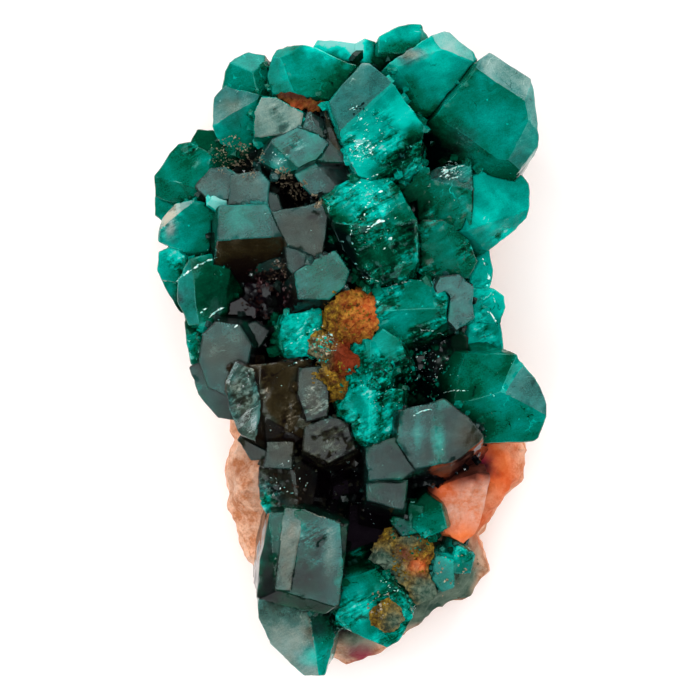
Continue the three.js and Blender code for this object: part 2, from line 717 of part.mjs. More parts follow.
        outline: [[12.1, 5.9], [12.3, 2.8], [15, 2.6], [15.6, 4.2], [15.4, 5.3], [14.2, 6.1]],
        lean: [44, 350],
        faces: [[13.6, 4.4, 17.4, 26, 340]],
      },
      {
        outline: [[12, 3], [11.8, 0], [13, -0.8], [15.4, -0.6], [15.3, 1.5], [15, 3]],
        lean: [38, 345],
        faces: [[13.4, 1.2, 16.6, 22, 320]],
      },
    ],
  },
  crystals_turquoise: {
    look: PALE_DIOPTASE,
    swollen: 0.3,
    crystals: [
      {
        outline: [[-1, -3], [-0.7, -5.4], [0.9, -8.6], [3.6, -9], [4, -4], [2.8, 0.6], [1.1, 0.7]],
        lean: [10, 60],
        faces: [[1.4, -3.4, 21.7, 17, 200], [2.6, -3.4, 21.7, 20, 340]],
      },
      {
        outline: [[2.5, -3.2], [3.7, -3], [3.9, -0.9], [2.7, -1.1]],
        lean: [12, 80],
        faces: [[3.2, -2, 22.4, 20, 60]],
      },
      {
        outline: [[3.6, -8], [5.1, -8], [5.2, -4.4], [3.9, -4.3]],
        lean: [8, 80],
        faces: [[4.4, -6.2, 21.2, 16, 300]],
      },
      {
        outline: [[2.7, 1.1], [4.3, -0.9], [5.1, -0.6], [4.9, 0.7], [3.4, 1.7]],
        lean: [20, 110],
        faces: [[3.9, 0.4, 22.2, 10, 250]],
      },
    ],
  },
  crystals_right_cavity: {
    look: SMOKY_DIOPTASE,
    swollen: 0.5,
    crystals: [
      {
        outline: [[5.5, -1], [6.2, -1.8], [6.9, -1.3], [6.9, 0.3], [5.7, -0.1]],
        lean: [12, 120],
        faces: [[6.3, -0.7, 17.6, 10, 300]],
        foot: 8,
      },
      {
        outline: [[8.4, -2.4], [10.6, -3], [11.2, -1], [11.3, 1], [10, 2], [8.4, 1.4]],
        lean: [14, 340],
        faces: [[9.8, -0.8, 18.2, 18, 200]],
        foot: 8,
      },
    ],
  },
  crystal_right: {
    look: DIOPTASE,
    crystals: [
      {
        outline: [[10.4, -5.5], [13.3, -9.2], [17.8, -9.3], [18.6, -8.8], [19.7, -6], [18.2, -2.8],
          [16.2, -0.5], [11.4, -0.9], [10.7, -3]],
        lean: [32, 350],
        faces: [[14.7, -4.1, 21.8, 20, 148], [14.7, -4.1, 21.8, 26, 262], [16.2, -4, 21.7, 11, 350],
          [15, -4, 21.9, 8, 0]],
      },
    ],
  },
  crystals_striped: {
    look: SMOKY_DIOPTASE,
    swollen: 0.3,
    crystals: [
      {
        outline: [[5.1, -8.9], [6.8, -11.3], [10, -10.8], [12.6, -9], [13, -8.2], [11.2, -6.7],
          [10, -5.2], [5.2, -6.4]],
        lean: [10, 60],
        faces: [[7.8, -8.4, 23.2, 8, 250], [10.6, -8.2, 22.9, 12, 330]],
      },
      {
        outline: [[2, -10], [2.3, -12.5], [5, -12.4], [7, -11.2], [7, -8], [5, -8.8]],
        lean: [8, 60],
        faces: [[4.4, -10.6, 22.2, 9, 235]],
      },
      {
        outline: [[2.1, -14.6], [5, -15.4], [5.5, -12.6], [2.1, -12.3]],
        lean: [12, 100],
        faces: [[3.6, -13.9, 20, 6, 280]],
      },
    ],
  },
  crystals_lower_small: {
    look: DIOPTASE,
    swollen: 0.4,
    crystals: [
      {
        outline: [[4.6, -17], [5.4, -18.2], [7, -17.7], [6.9, -16], [5.4, -15.7]],
        faces: [[5.8, -17, 17.8, 14, 200]],
        foot: 8,
      },
      {
        outline: [[6.6, -17.5], [7.5, -18.2], [9.2, -17.4], [8.6, -15.6], [7.6, -15], [6.7, -16]],
        lean: [8, 260],
        faces: [[7.9, -16.6, 18.2, 20, 120]],
        foot: 8,
      },
    ],
  },
  crystal_lower_prism: {
    look: SMOKY_DIOPTASE,
    crystals: [
      {
        outline: [[-9.1, -24.6], [-7.4, -25.3], [-2.4, -26.3], [-1.2, -25.4], [-0.5, -20.3],
          [-0.2, -17.4], [-4.5, -16], [-7.8, -16.2], [-8.8, -20.8]],
        lean: [12, 275],
        faces: [[-6.6, -20, 20.6, 12, 182], [-5.4, -20, 20.65, 4, 300], [-7.6, -20, 20.4, 38, 184],
          [-0.7, -20, 20.45, 40, 0], [-4.4, -24.45, 20.6, 48, 256]],
        flare: 2,
      },
      {
        outline: [[-7.4, -23.8], [-5.9, -23.9], [-4.7, -16], [-6.4, -15.7]],
        faces: [[-6.1, -20, 21, 5, 20]],
      },
    ],
  },
  crystal_bottom: {
    look: DIOPTASE,
    crystals: [
      {
        outline: [[-9, -26.6], [-8, -29], [-6.2, -31], [-4.5, -32.4], [-2.5, -32.4], [-1.6, -28.2],
          [-2.2, -26.6], [-5, -25.3], [-8.9, -25]],
        lean: [30, 262],
        faces: [[-5.2, -28.4, 17.4, 16, 235], [-3, -29, 17.2, 30, 350]],
      },
    ],
  },
  crystal_bottom_emerald: {
    look: PALE_DIOPTASE,
    crystals: [
      {
        outline: [[-1.4, -26.5], [0.3, -28.1], [3.7, -29.6], [4.7, -28.9], [6.3, -26.5], [5.5, -24.5],
          [2.5, -22], [-0.5, -22.9]],
        lean: [18, 280],
        faces: [[1.2, -25, 18.2, 18, 130], [1.2, -25, 18.2, 16, 300]],
      },
    ],
  },
  crystals_bottom_right: {
    look: DIOPTASE,
    crystals: [
      {
        outline: [[8.3, -22.8], [9.2, -24], [10.4, -23.6], [10.3, -21], [8.7, -20.6]],
        lean: [14, 280],
        faces: [[9.4, -22.4, 16.6, 10, 270]],
        foot: 7,
      },
      {
        outline: [[10.2, -22.2], [12.2, -22.3], [12.4, -20.4], [10.9, -19.6]],
        lean: [20, 330],
        faces: [[11.3, -21.2, 15.6, 18, 330]],
        foot: 7,
      },
    ],
  },
};

// ---- Assembly ---------------------------------------------------------------------------------------

function build() {
  const pieces = [];
  const standing = [rock(GAP)];
  for (const [name, { look, crystals, swollen }] of Object.entries(CRYSTALS)) {
    const planes = crystals.map((crystal) => crystalPlanes({ swollen, ...crystal }));
    const body = joined(planes.map((each) => solidBehind(each, 0)));
    pieces.push({ name, look, solid: largestBody(body.subtract(joined(standing))) });
    standing.push(joined(planes.map((each) => solidBehind(each, GAP))));
  }
  for (const [name, lumps] of Object.entries(LUMPS)) {
    const body = joined(lumps.map(lump));
    pieces.push({ name, look: LIMONITE, solid: largestBody(body.subtract(joined(standing))) });
  }
  pieces.push({ name: 'matrix_rock', look: MATRIX, solid: rock() });
  return pieces;
}

const specimen = new THREE.Group();
for (const { name, look, solid } of build()) {
  const mesh = new THREE.Mesh(toGeometry(solid), new THREE.MeshStandardMaterial(look));
  mesh.name = name;
  specimen.add(mesh);
}

// The origin is in the middle of the specimen's sawn face.
const bounds = new THREE.Box3().setFromObject(specimen);
const middle = bounds.getCenter(new THREE.Vector3());
specimen.position.set(-middle.x, -middle.y, 0);
specimen.updateMatrixWorld(true);

export default specimen;
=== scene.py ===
"""Dioptase on matrix: the looks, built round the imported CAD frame. Units are metres."""

import itertools
import math

import bmesh
import bpy
import numpy as np
from mathutils import Matrix, Vector
from mathutils.bvhtree import BVHTree
from mathutils.geometry import delaunay_2d_cdt
from mathutils.kdtree import KDTree


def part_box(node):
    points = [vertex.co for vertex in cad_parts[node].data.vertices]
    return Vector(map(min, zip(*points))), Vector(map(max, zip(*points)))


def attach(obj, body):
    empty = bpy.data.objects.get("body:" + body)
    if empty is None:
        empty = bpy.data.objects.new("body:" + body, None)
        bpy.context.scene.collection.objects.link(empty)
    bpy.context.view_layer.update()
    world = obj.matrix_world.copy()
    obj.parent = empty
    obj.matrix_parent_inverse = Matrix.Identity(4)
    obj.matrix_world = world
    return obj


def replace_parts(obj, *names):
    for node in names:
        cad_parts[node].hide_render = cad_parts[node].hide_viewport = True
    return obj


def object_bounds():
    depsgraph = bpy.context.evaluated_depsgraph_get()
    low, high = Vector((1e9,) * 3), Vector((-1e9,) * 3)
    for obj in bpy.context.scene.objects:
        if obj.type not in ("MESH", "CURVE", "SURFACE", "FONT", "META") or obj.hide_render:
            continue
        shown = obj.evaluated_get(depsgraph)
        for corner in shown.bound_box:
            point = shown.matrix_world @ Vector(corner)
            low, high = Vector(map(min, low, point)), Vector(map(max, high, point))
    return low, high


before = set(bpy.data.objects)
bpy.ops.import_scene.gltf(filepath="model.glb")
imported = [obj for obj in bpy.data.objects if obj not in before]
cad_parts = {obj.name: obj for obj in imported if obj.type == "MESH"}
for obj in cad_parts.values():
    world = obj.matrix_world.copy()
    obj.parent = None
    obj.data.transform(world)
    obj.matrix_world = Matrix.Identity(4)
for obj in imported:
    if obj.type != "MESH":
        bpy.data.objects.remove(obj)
CAD_LOW, CAD_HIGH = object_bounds()
MM = 0.001
rng = np.random.default_rng(7)

# ---------------------------------------------------------------- camera, floor and light

LENS = 500.0
SENSOR = 36.0
VIEW_WIDTH = 70 * MM
FLOOR_SIZE = 12.0
FLOOR_GLOW = 0.12
SKY_STRENGTH = 3.6
# Brightness of the sky against the sine of the height above the horizon.
CAP = [(0.30, 0.02), (0.855, 0.02), (0.895, 1.0)]
LOW_BAND = [(0.0, 0.8), (0.28, 0.8), (0.42, 0.0)]
# Brightness of the low band from the near side to the far side.
LOW_BAND_SIDES = [(0.40, 0.10), (0.75, 1.0)]
# Lamps: azimuth, elevation and half-width in degrees, and brightness.
LAMPS = [(60, 30, 4.0, 6.0), (130, 30, 4.0, 6.0), (250, 30, 4.0, 6.0), (185, 46, 3.0, 6.0)]


def make_camera():
    """Looks straight down, so far off that the crystals hardly lean away from the middle."""
    data = bpy.data.cameras.new("camera")
    data.lens = LENS
    data.sensor_width = SENSOR
    camera = bpy.data.objects.new("camera", data)
    middle = (CAD_LOW + CAD_HIGH) / 2
    distance = VIEW_WIDTH * LENS / SENSOR
    camera.location = (middle.x, middle.y, CAD_HIGH.z * 0.6 + distance)
    data.clip_start = distance * 0.1
    data.clip_end = distance * 10
    bpy.context.scene.collection.objects.link(camera)
    bpy.context.scene.camera = camera


def make_floor():
    mesh = bpy.data.meshes.new("floor")
    half = FLOOR_SIZE / 2
    corners = [(-half, -half, 0), (half, -half, 0), (half, half, 0), (-half, half, 0)]
    mesh.from_pydata(corners, [], [(0, 1, 2, 3)])
    floor = bpy.data.objects.new("floor", mesh)
    bpy.context.scene.collection.objects.link(floor)
    material = bpy.data.materials.new("floor")
    material.use_nodes = True
    shader = material.node_tree.nodes["Principled BSDF"]
    shader.inputs["Base Color"].default_value = (0.95, 0.95, 0.95, 1)
    shader.inputs["Roughness"].default_value = 0.9
    shader.inputs["Emission Color"].default_value = (1, 1, 1, 1)
    shader.inputs["Emission Strength"].default_value = FLOOR_GLOW
    mesh.materials.append(material)


def set_input(tree, socket, value):
    """Links a socket, or sets it to a number or a colour."""
    if isinstance(value, bpy.types.NodeSocket):
        tree.links.new(value, socket)
    elif isinstance(value, tuple):
        socket.default_value = (*value, 1) if len(value) == 3 and len(socket.default_value) == 4 else value
    else:
        socket.default_value = value


def add(tree, kind, settings, inputs):
    node = tree.nodes.new(kind)
    for key, value in settings.items():
        setattr(node, key, value)
    for key, value in inputs.items():
        set_input(tree, node.inputs[key], value)
    return node


def sums(tree, operation, a, b, c=0.0):
    return add(tree, "ShaderNodeMath", {"operation": operation}, {0: a, 1: b, 2: c}).outputs[0]


def ramp(tree, value, *stops):
    made = add(tree, "ShaderNodeValToRGB", {}, {"Fac": value})
    elements = made.color_ramp.elements
    while len(elements) < len(stops):
        elements.new(0.5)
    for element, (spot, colour) in zip(elements, stops):
        element.position = spot
        element.color = (*colour, 1) if isinstance(colour, tuple) else (colour, colour, colour, 1)
    return made.outputs["Color"]


def make_light():
    """A soft box overhead, dark walls, a pale band low on the far side, and lamps for the glints."""
    world = bpy.data.worlds.new("studio")
    bpy.context.scene.world = world
    world.use_nodes = True
    tree = world.node_tree
    around = add(tree, "ShaderNodeTexCoord", {}, {}).outputs["Generated"]
    split = add(tree, "ShaderNodeSeparateXYZ", {}, {0: around})
    far_side = sums(tree, "MULTIPLY_ADD", split.outputs["Y"], 0.5, 0.5)
    low_band = ramp(tree, split.outputs["Z"], *LOW_BAND)
    low_band = sums(tree, "MULTIPLY", low_band, ramp(tree, far_side, *LOW_BAND_SIDES))
    light = sums(tree, "ADD", ramp(tree, split.outputs["Z"], *CAP), low_band)
    for azimuth, elevation, width, brightness in LAMPS:
        a, e = math.radians(azimuth), math.radians(elevation)
        toward = (math.cos(a) * math.cos(e), math.sin(a) * math.cos(e), math.sin(e))
        aligned = add(tree, "ShaderNodeVectorMath", {"operation": "DOT_PRODUCT"}, {0: around, 1: toward})
        lit = sums(tree, "GREATER_THAN", aligned.outputs["Value"], math.cos(math.radians(width)))
        light = sums(tree, "MULTIPLY_ADD", lit, brightness, light)
    set_input(tree, tree.nodes["Background"].inputs["Color"], light)
    tree.nodes["Background"].inputs["Strength"].default_value = SKY_STRENGTH


make_camera()
make_floor()
make_light()
bpy.context.scene.view_settings.view_transform = "Standard"

# ---------------------------------------------------------------- what each crystal is like

# Crystal node -> paleness from 0 black to 1 white, earthiness from -1 teal over 0 slate to 1 brown, and how
# much of its surface is broken.
CHARACTER = {
    "crystal_upper_right_outer": (0.555, -1.0, 0.05),
    "crystal_upper_right_inner": (0.64, -1.0, 0.15),
    "crystal_top_slab": (0.56, -1.0, 0.10),
    "crystals_top": (0.565, -1.0, 0.20),
    "crystals_top_left": (0.55, -0.85, 0.20),
    "crystals_left_upper": (0.47, -1.0, 0.20),
    "crystals_left": (0.60, -1.0, 0.38),
    "crystal_centre": (0.40, -1.0, 0.55),
    "crystal_centre_right": (0.50, -1.0, 0.55),
    "crystal_right_upper": (0.71, -1.0, 0.15),
    "crystal_right": (0.55, -1.0, 0.05),
    "crystals_lower_small": (0.46, -0.8, 0.30),
    "crystal_bottom": (0.64, -0.25, 0.15),
    "crystals_bottom_right": (0.52, -0.3, 0.30),
    "crystal_emerald_block": (0.68, -1.0, 0.60),
    "crystal_cyan_chip": (0.92, -1.0, 0.10),
    "crystal_left_bright": (0.64, -1.0, 0.50),
    "crystals_right_rim": (0.89, -1.0, 0.40),
    "crystals_turquoise": (0.54, -1.0, 0.76),
    "crystal_bottom_emerald": (0.52, -1.0, 0.50),
    "crystal_trapezoid": (0.63, -0.10, 0.00),
    "crystals_left_ledge": (0.58, 0.20, 0.05),
    "crystals_upper_middle": (0.58, 0.05, 0.25),
    "crystals_left_lower": (0.48, 0.10, 0.15),
    "crystal_olive": (0.40, 0.90, 0.45),
    "crystals_centre_left": (0.57, 0.15, 0.20),
    "crystals_cavity": (0.36, 1.0, 0.60),
    "crystals_lower_left": (0.50, 0.60, 0.40),
    "crystals_right_dark": (0.42, -0.75, 0.40),
    "crystal_grey_right": (0.55, 0.0, 0.05),
    "crystals_right_cavity": (0.38, -0.5, 0.50),
    "crystals_striped": (0.53, 0.06, 0.10),
    "crystal_lower_prism": (0.47, -0.2, 0.10),
}

BRIGHT = {"crystal_emerald_block", "crystal_cyan_chip", "crystal_left_bright", "crystals_right_rim",
          "crystals_turquoise", "crystal_bottom_emerald"}
SMOKY = {"crystals_upper_middle", "crystals_left_ledge", "crystal_trapezoid", "crystals_left_lower",
         "crystal_olive", "crystals_centre_left", "crystals_cavity", "crystals_lower_left",
         "crystals_right_dark", "crystal_grey_right", "crystals_right_cavity", "crystals_striped",
         "crystal_lower_prism"}

# Where a look changes: kind of spot -> node -> for each spot its place in the node's box (across, along), its
# radius in mm or the radii across and along, and its strength.
SPOTS = {
    # Light spots: painted light, patches painted paler where a crystal glows and where its facets catch the
    # light.
    "light": {
        "crystal_emerald_block": [(0.30, 0.22, 2.6, 0.22), (0.85, 0.62, 1.6, 0.25)],
        "crystal_centre": [(0.42, 0.84, 2.6, 0.25), (0.75, 0.55, 2.2, 0.05)],
        "crystals_turquoise": [(0.75, 0.12, 2.5, 0.18), (0.60, 0.32, (0.7, 2.6), 0.18),
                               (0.39, 0.52, (0.6, 2.4), 0.12)],
        "crystal_left_bright": [(0.4, 0.5, 2.5, 0.12)],
        "crystal_bottom_emerald": [(0.3, 0.5, 3.0, 0.12)],
        "crystals_top": [(0.45, 0.96, 1.1, 0.50), (0.62, 0.96, 1.2, 0.60), (0.80, 0.94, 1.2, 0.80),
                         (0.86, 0.86, 1.0, 0.50)],
        "crystal_top_slab": [(0.1, 0.6, 1.6, 0.25)],
        "crystals_left": [(0.45, 0.80, 1.6, 0.10), (0.12, 0.86, (0.7, 1.7), 0.34),
                          (0.28, 0.10, 1.8, 0.15)],
        "crystals_lower_left": [(0.15, 0.10, 1.0, 0.60)],
        "crystal_upper_right_outer": [(0.60, 0.70, 4.0, 0.05)],
        "crystal_upper_right_inner": [(0.60, 0.45, 3.0, 0.05), (0.27, 0.76, (2.2, 0.6), 0.22)],
        "crystals_bottom_right": [(0.55, 0.80, 1.2, 0.35)],
        "crystal_trapezoid": [(0.50, 0.98, 2.6, 0.10)],
        "crystals_upper_middle": [(0.33, 0.47, 0.6, 0.30), (0.62, 0.20, (1.2, 0.9), 0.16),
                                  (0.75, 0.58, 0.9, 0.14)],
        "crystal_lower_prism": [(0.80, 0.52, (1.0, 3.4), 0.14), (0.76, 0.74, (2.0, 0.8), 0.08)],
        "crystals_striped": [(0.49, 0.71, (0.40, 2.6), 0.10), (0.66, 0.71, (0.45, 2.6), 0.12),
                             (0.57, 0.71, (0.30, 2.6), -0.10)],
        "crystal_olive": [(0.30, 0.92, (2.2, 0.7), 0.08)],
    },
    # Painted shade: patches of crystal darkened where shade falls.
    "painted_shade": {
        "crystal_upper_right_outer": [(0.15, 0.45, 2.4, 0.45), (0.42, 0.95, 1.4, 0.25)],
        "crystal_upper_right_inner": [(0.20, 0.22, 2.4, 0.25), (0.85, 0.35, 1.6, 0.25)],
        "crystal_emerald_block": [(0.98, 0.38, 1.8, 0.45), (0.80, 0.20, 2.2, 0.22),
                                  (0.65, 0.12, 1.8, 0.15)],
        "crystal_centre": [(0.12, 0.45, 2.6, 0.40), (0.19, 0.46, (1.4, 3.4), 0.30),
                           (0.85, 0.55, 1.0, 0.25), (0.20, 0.20, 3.0, 0.22), (0.60, 0.10, 2.0, 0.12),
                           (0.70, 0.42, 1.2, 0.14)],
        "crystals_left": [(0.43, 0.51, 3.0, 0.24), (0.60, 0.35, 2.4, 0.10)],
        "crystals_left_upper": [(0.60, 0.45, 2.0, 0.12)],
        "crystal_right": [(0.15, 0.55, 3.0, 0.12), (0.05, 0.30, 2.0, 0.35), (0.35, 0.15, 3.0, 0.10)],
        "crystal_right_upper": [(0.20, 0.55, 1.5, 0.15)],
        "crystals_top": [(0.55, 0.20, 2.0, 0.25)],
        "crystal_bottom_emerald": [(0.70, 0.80, 2.5, 0.35)],
        "crystals_turquoise": [(0.95, 0.70, 3.0, 0.25), (0.51, 0.49, (0.4, 3.0), 0.16)],
        "crystal_centre_right": [(0.80, 0.10, 2.0, 0.25), (0.63, 0.25, (3.0, 1.5), 0.30)],
        "crystal_left_bright": [(0.1, 0.1, 1.5, 0.30)],
        "crystal_trapezoid": [(0.45, 0.10, 3.2, 0.40)],
        "crystal_lower_prism": [(0.06, 0.10, 1.8, 0.20), (0.53, 0.31, (1.8, 1.3), 0.26),
                                (0.18, 0.34, (0.8, 2.6), 0.26), (0.64, 0.54, (0.7, 0.5), 0.26),
                                (0.70, 0.62, (0.5, 0.7), 0.20)],
        "crystal_bottom": [(0.45, 0.95, 2.4, 0.25), (0.80, 0.75, 1.6, 0.25),
                           (0.69, 0.52, (1.3, 1.1), 0.10), (0.75, 0.76, (3.0, 0.8), 0.25)],
        "crystals_centre_left": [(0.15, 0.25, 2.6, 0.25)],
        "crystals_top_left": [(0.75, 0.40, 0.6, 0.30)],
        "crystals_cavity": [(0.30, 0.60, 2.4, 0.15)],
        "crystals_left_lower": [(0.75, 0.55, 2.0, 0.25)],
        "crystals_lower_left": [(0.60, 0.30, 3.0, 0.18)],
        "crystals_striped": [(0.92, 0.55, (2.0, 1.2), 0.20)],
    },
    # Earth spots turn a patch browner or greyer: the crystal's own tint, and where a light spot lies on the
    # same place, part of a painted grey reflection.
    "earth": {
        "crystals_top_left": [(0.20, 0.55, 1.6, 0.6)],
        "crystals_left": [(0.12, 0.45, 1.4, 0.7), (0.12, 0.86, (0.8, 1.8), 1.2)],
        "crystal_upper_right_inner": [(0.27, 0.76, (2.2, 0.7), 1.0), (0.25, 0.70, 1.2, 0.6)],
        "crystal_upper_right_outer": [(0.38, 0.52, (2.4, 2.0), 0.75)],
        "crystals_lower_small": [(0.20, 0.25, 1.1, 0.9)],
        "crystals_bottom_right": [(0.65, 0.65, 1.2, -0.9)],
        "crystal_trapezoid": [(0.45, 0.95, 2.5, -0.3)],
        "crystals_upper_middle": [(0.82, 0.70, 1.6, 0.8), (0.46, 0.58, 2.2, -0.15)],
        "crystals_striped": [(0.90, 0.70, 1.6, 0.35), (0.49, 0.71, (0.45, 2.8), -0.20),
                             (0.66, 0.71, (0.50, 2.8), -0.25), (0.84, 0.71, (1.4, 2.2), 0.40)],
        "crystals_cavity": [(0.50, 0.50, 4.0, 0.6)],
        "crystals_lower_left": [(0.20, 0.18, 1.4, -1.4)],
        "crystals_centre_left": [(0.45, 0.25, 2.0, 0.5)],
        "crystals_left_lower": [(0.30, 0.60, 2.4, 0.3)],
        "crystal_centre_right": [(0.75, 0.6, 1.5, 0.3)],
        "crystal_centre": [(0.70, 0.20, 1.4, 0.5)],
        "crystal_bottom": [(0.69, 0.52, (1.3, 1.1), 0.55), (0.68, 0.20, (1.8, 1.2), -0.8)],
        "crystal_lower_prism": [(0.80, 0.52, (1.0, 3.4), 0.35)],
    },
    "broken": {
        "crystals_top_left": [(0.70, 0.45, 2.0, 0.35)],
        "crystal_emerald_block": [(0.32, 0.78, 2.6, -1.2)],
        "crystal_bottom": [(0.60, 0.25, 2.0, 0.3)],
        "crystals_lower_left": [(0.72, 0.82, 2.0, 0.5)],
        "crystal_lower_prism": [(0.68, 0.64, (1.8, 2.6), 0.55)],
    },
    # Painted glints: where bright slivers are painted into the colour of broken faces.
    "painted_glints": {
        "crystal_emerald_block": [(0.32, 0.22, 2.2, 1.0), (0.45, 0.45, 2.2, 0.4), (0.30, 0.52, 1.2, 0.9)],
        "crystal_centre": [(0.45, 0.84, 2.2, 0.7), (0.55, 0.40, 3.0, 0.4)],
        "crystal_centre_right": [(0.25, 0.55, 2.4, 0.5)],
        "crystals_turquoise": [(0.45, 0.30, 3.6, 0.8)],
        "crystal_left_bright": [(0.45, 0.60, 2.0, 0.7)],
        "crystals_right_dark": [(0.55, 0.85, 2.4, 0.9)],
        "crystals_right_cavity": [(0.50, 0.50, 3.0, 1.0)],
        "crystal_bottom_emerald": [(0.45, 0.50, 3.0, 0.6)],
        "crystals_upper_middle": [(0.33, 0.45, 1.2, 0.8)],
        "crystals_left": [(0.45, 0.62, 2.0, 0.5)],
        "crystals_lower_left": [(0.55, 0.35, 2.6, 0.4)],
    },
    # Dark crust, which also stands for painted shade in the crevices.
    "crust_and_shade": {
        "matrix_rock": [(0.51, 0.26, 5.4, 2.4), (0.51, 0.60, 12.0, 1.8), (0.75, 0.322, (3.4, 1.7), 2.4)],
        "calcite_block": [(0.55, 0.95, (4.2, 1.5), 2.4)],
        "limonite_upper": [(0.50, 0.90, (3.0, 0.6), 1.4)],
    },
    "rust": {
        "matrix_rock": [(0.88, 0.32, 3.8, 1.2), (0.86, 0.22, 2.0, 1.0), (0.02, 0.36, 2.5, 0.6),
                        (0.84, 0.33, (2.4, 1.6), 0.8)],
        "calcite_block": [(0.2, 0.8, 3.0, 0.8), (0.15, 0.80, 1.6, 0.7), (0.40, 0.08, (2.0, 1.0), 0.8),
                          (0.75, 0.10, (1.6, 1.4), 0.8), (0.30, 0.95, (3.0, 1.2), 0.9)],
        "limonite_lower": [(0.72, 0.51, (0.9, 0.8), 1.0)],
        "limonite_centre": [(0.86, 0.80, 2.4, 0.55)],
        "limonite_upper": [(0.35, 0.30, (1.8, 0.6), 0.9)],
    },
    "crimson": {
        "matrix_rock": [(0.515, 0.02, (1.1, 0.9), 2.2), (0.80, 0.325, (1.4, 1.3), 0.9),
                        (0.70, 0.09, 1.8, 0.8), (0.855, 0.330, (1.2, 1.6), 1.0)],
        "limonite_lower": [(0.51, 0.66, (0.7, 0.7), 1.0)],
        "calcite_block": [(0.10, 0.75, 1.2, 0.6), (0.60, 0.84, (3.0, 0.8), 0.9)],
        "limonite_centre": [(0.54, 0.40, (1.5, 1.8), 1.7)],
        "limonite_upper": [(0.7, 0.3, 1.2, 0.5)],
    },
    "green": {
        "matrix_rock": [(0.78, 0.14, 4.2, 1.3), (0.50, 0.05, 2.6, 1.0), (0.66, 0.10, 2.6, 0.9)],
        "limonite_lower": [(0.25, 0.45, 1.7, 1.2), (0.85, 0.15, 1.7, 1.2), (0.60, 0.92, 1.3, 0.8),
                           (0.11, 0.58, 1.2, 1.2)],
        "limonite_bottom": [(0.75, 0.35, 1.2, 0.9)],
        "limonite_centre": [(0.10, 0.42, 1.4, 0.7)],
    },
}

# Facets unlike the rest of their crystal: node -> for each facet a place on it in the node's box (across,
# along), how much lighter and how much earthier it is. The changes are partly the facet's own tone and partly
# painted light: a painted reflection where a facet is paler and greyer, painted shade where it is darker.
FACETS = {
    "crystal_upper_right_outer": [(0.76, 0.88, 0.28, 1.05), (0.89, 0.44, 0.10, 0.65),
                                  (0.98, 0.70, 0.20, 0.80), (0.50, 0.46, -0.08, 0.00)],
    "crystal_upper_right_inner": [(0.52, 0.91, 0.09, 0.75), (0.83, 0.79, 0.18, 0.80),
                                  (0.17, 0.40, -0.05, 0.20)],
    "crystal_emerald_block": [(0.27, 0.76, 0.00, 1.05)],
    "crystals_left": [(0.13, 0.96, 0.22, 1.10), (0.24, 0.47, 0.06, 0.35), (0.47, 0.52, -0.06, 0.00),
                      (0.13, 0.63, 0.06, 0.20), (0.12, 0.48, 0.10, 0.60)],
    "crystals_left_lower": [(0.22, 0.21, 0.03, -0.15), (0.61, 0.75, -0.10, -0.20)],
    "crystals_top_left": [(0.67, 0.45, 0.20, 1.20), (0.15, 0.56, 0.12, 0.70), (0.35, 0.93, 0.05, 0.40)],
    "crystals_top": [(0.08, 0.70, 0.02, 0.35)],
    "crystal_olive": [(0.12, 0.56, 0.13, -0.45), (0.72, 0.63, 0.13, -0.35)],
    "crystal_right": [(0.85, 0.45, 0.14, 1.00), (0.61, 0.18, -0.03, 0.00), (0.34, 0.67, -0.03, 0.00)],
    "crystal_lower_prism": [(0.38, 0.57, 0.25, 0.80), (0.92, 0.52, 0.06, 0.10),
                            (0.15, 0.57, -0.06, 0.10), (0.55, 0.06, -0.24, -0.20)],
    "crystal_trapezoid": [(0.56, 0.90, -0.06, 0.05), (0.56, 0.65, -0.24, 1.00)],
    "crystals_upper_middle": [(0.47, 0.59, 0.05, -0.05), (0.66, 0.85, -0.06, 0.50),
                              (0.82, 0.87, -0.04, 0.40), (0.91, 0.15, -0.05, -0.50),
                              (0.62, 0.23, 0.04, -0.10)],
    "crystals_centre_left": [(0.55, 0.86, 0.02, 0.30), (0.27, 0.70, -0.06, 0.70),
                             (0.53, 0.66, -0.02, 0.10), (0.78, 0.51, 0.02, -0.50)],
    "crystal_bottom": [(0.47, 0.42, 0.07, 0.55), (0.82, 0.38, -0.06, -0.40)],
}

# Loose grains: place on the whole object (across, along), radius of the patch in mm, how many, their size in
# mm, look, paleness, earthiness.
GRAINS = [
    (0.19, 0.80, 2.0, 260, 0.16, "crumbs", 0, 0),
    (0.24, 0.79, 1.8, 200, 0.16, "crumbs", 0, 0),
    (0.33, 0.765, 1.0, 200, 0.20, "crumbs", 0, 0),
    (0.37, 0.745, 1.0, 220, 0.22, "crumbs", 0, 0),
    (0.41, 0.728, 0.8, 160, 0.26, "crumbs", 0, 0),
    (0.43, 0.505, 1.3, 120, 0.22, "crumbs", 0, 0),
    (0.43, 0.500, 1.2, 90, 0.24, "dioptase_bright", 0.80, -0.8),
    (0.50, 0.555, 3.0, 260, 0.22, "limonite", 0, 0),
    (0.45, 0.46, 1.8, 160, 0.22, "limonite", 0, 0),
    (0.66, 0.18, 2.2, 200, 0.24, "limonite", 0, 0),
    (0.56, 0.44, 3.4, 160, 0.30, "dioptase_bright", 0.60, -1.0),
    (0.28, 0.59, 2.8, 200, 0.34, "dioptase_smoky", 0.40, 1.4),
    (0.31, 0.62, 1.2, 120, 0.24, "dioptase_smoky", 0.58, 1.2),
    (0.49, 0.27, 2.6, 70, 0.36, "dioptase_smoky", 0.28, 0.6),
    (0.34, 0.29, 2.0, 60, 0.34, "dioptase_smoky", 0.42, 1.2),
    (0.70, 0.46, 2.6, 110, 0.34, "dioptase_smoky", 0.40, -0.8),
    (0.78, 0.15, 2.6, 60, 0.20, "crumbs", 0, 0),
    (0.58, 0.11, 1.4, 60, 0.24, "crumbs", 0, 0),
    (0.66, 0.22, 2.2, 90, 0.26, "dioptase_bright", 0.50, -0.9),
]
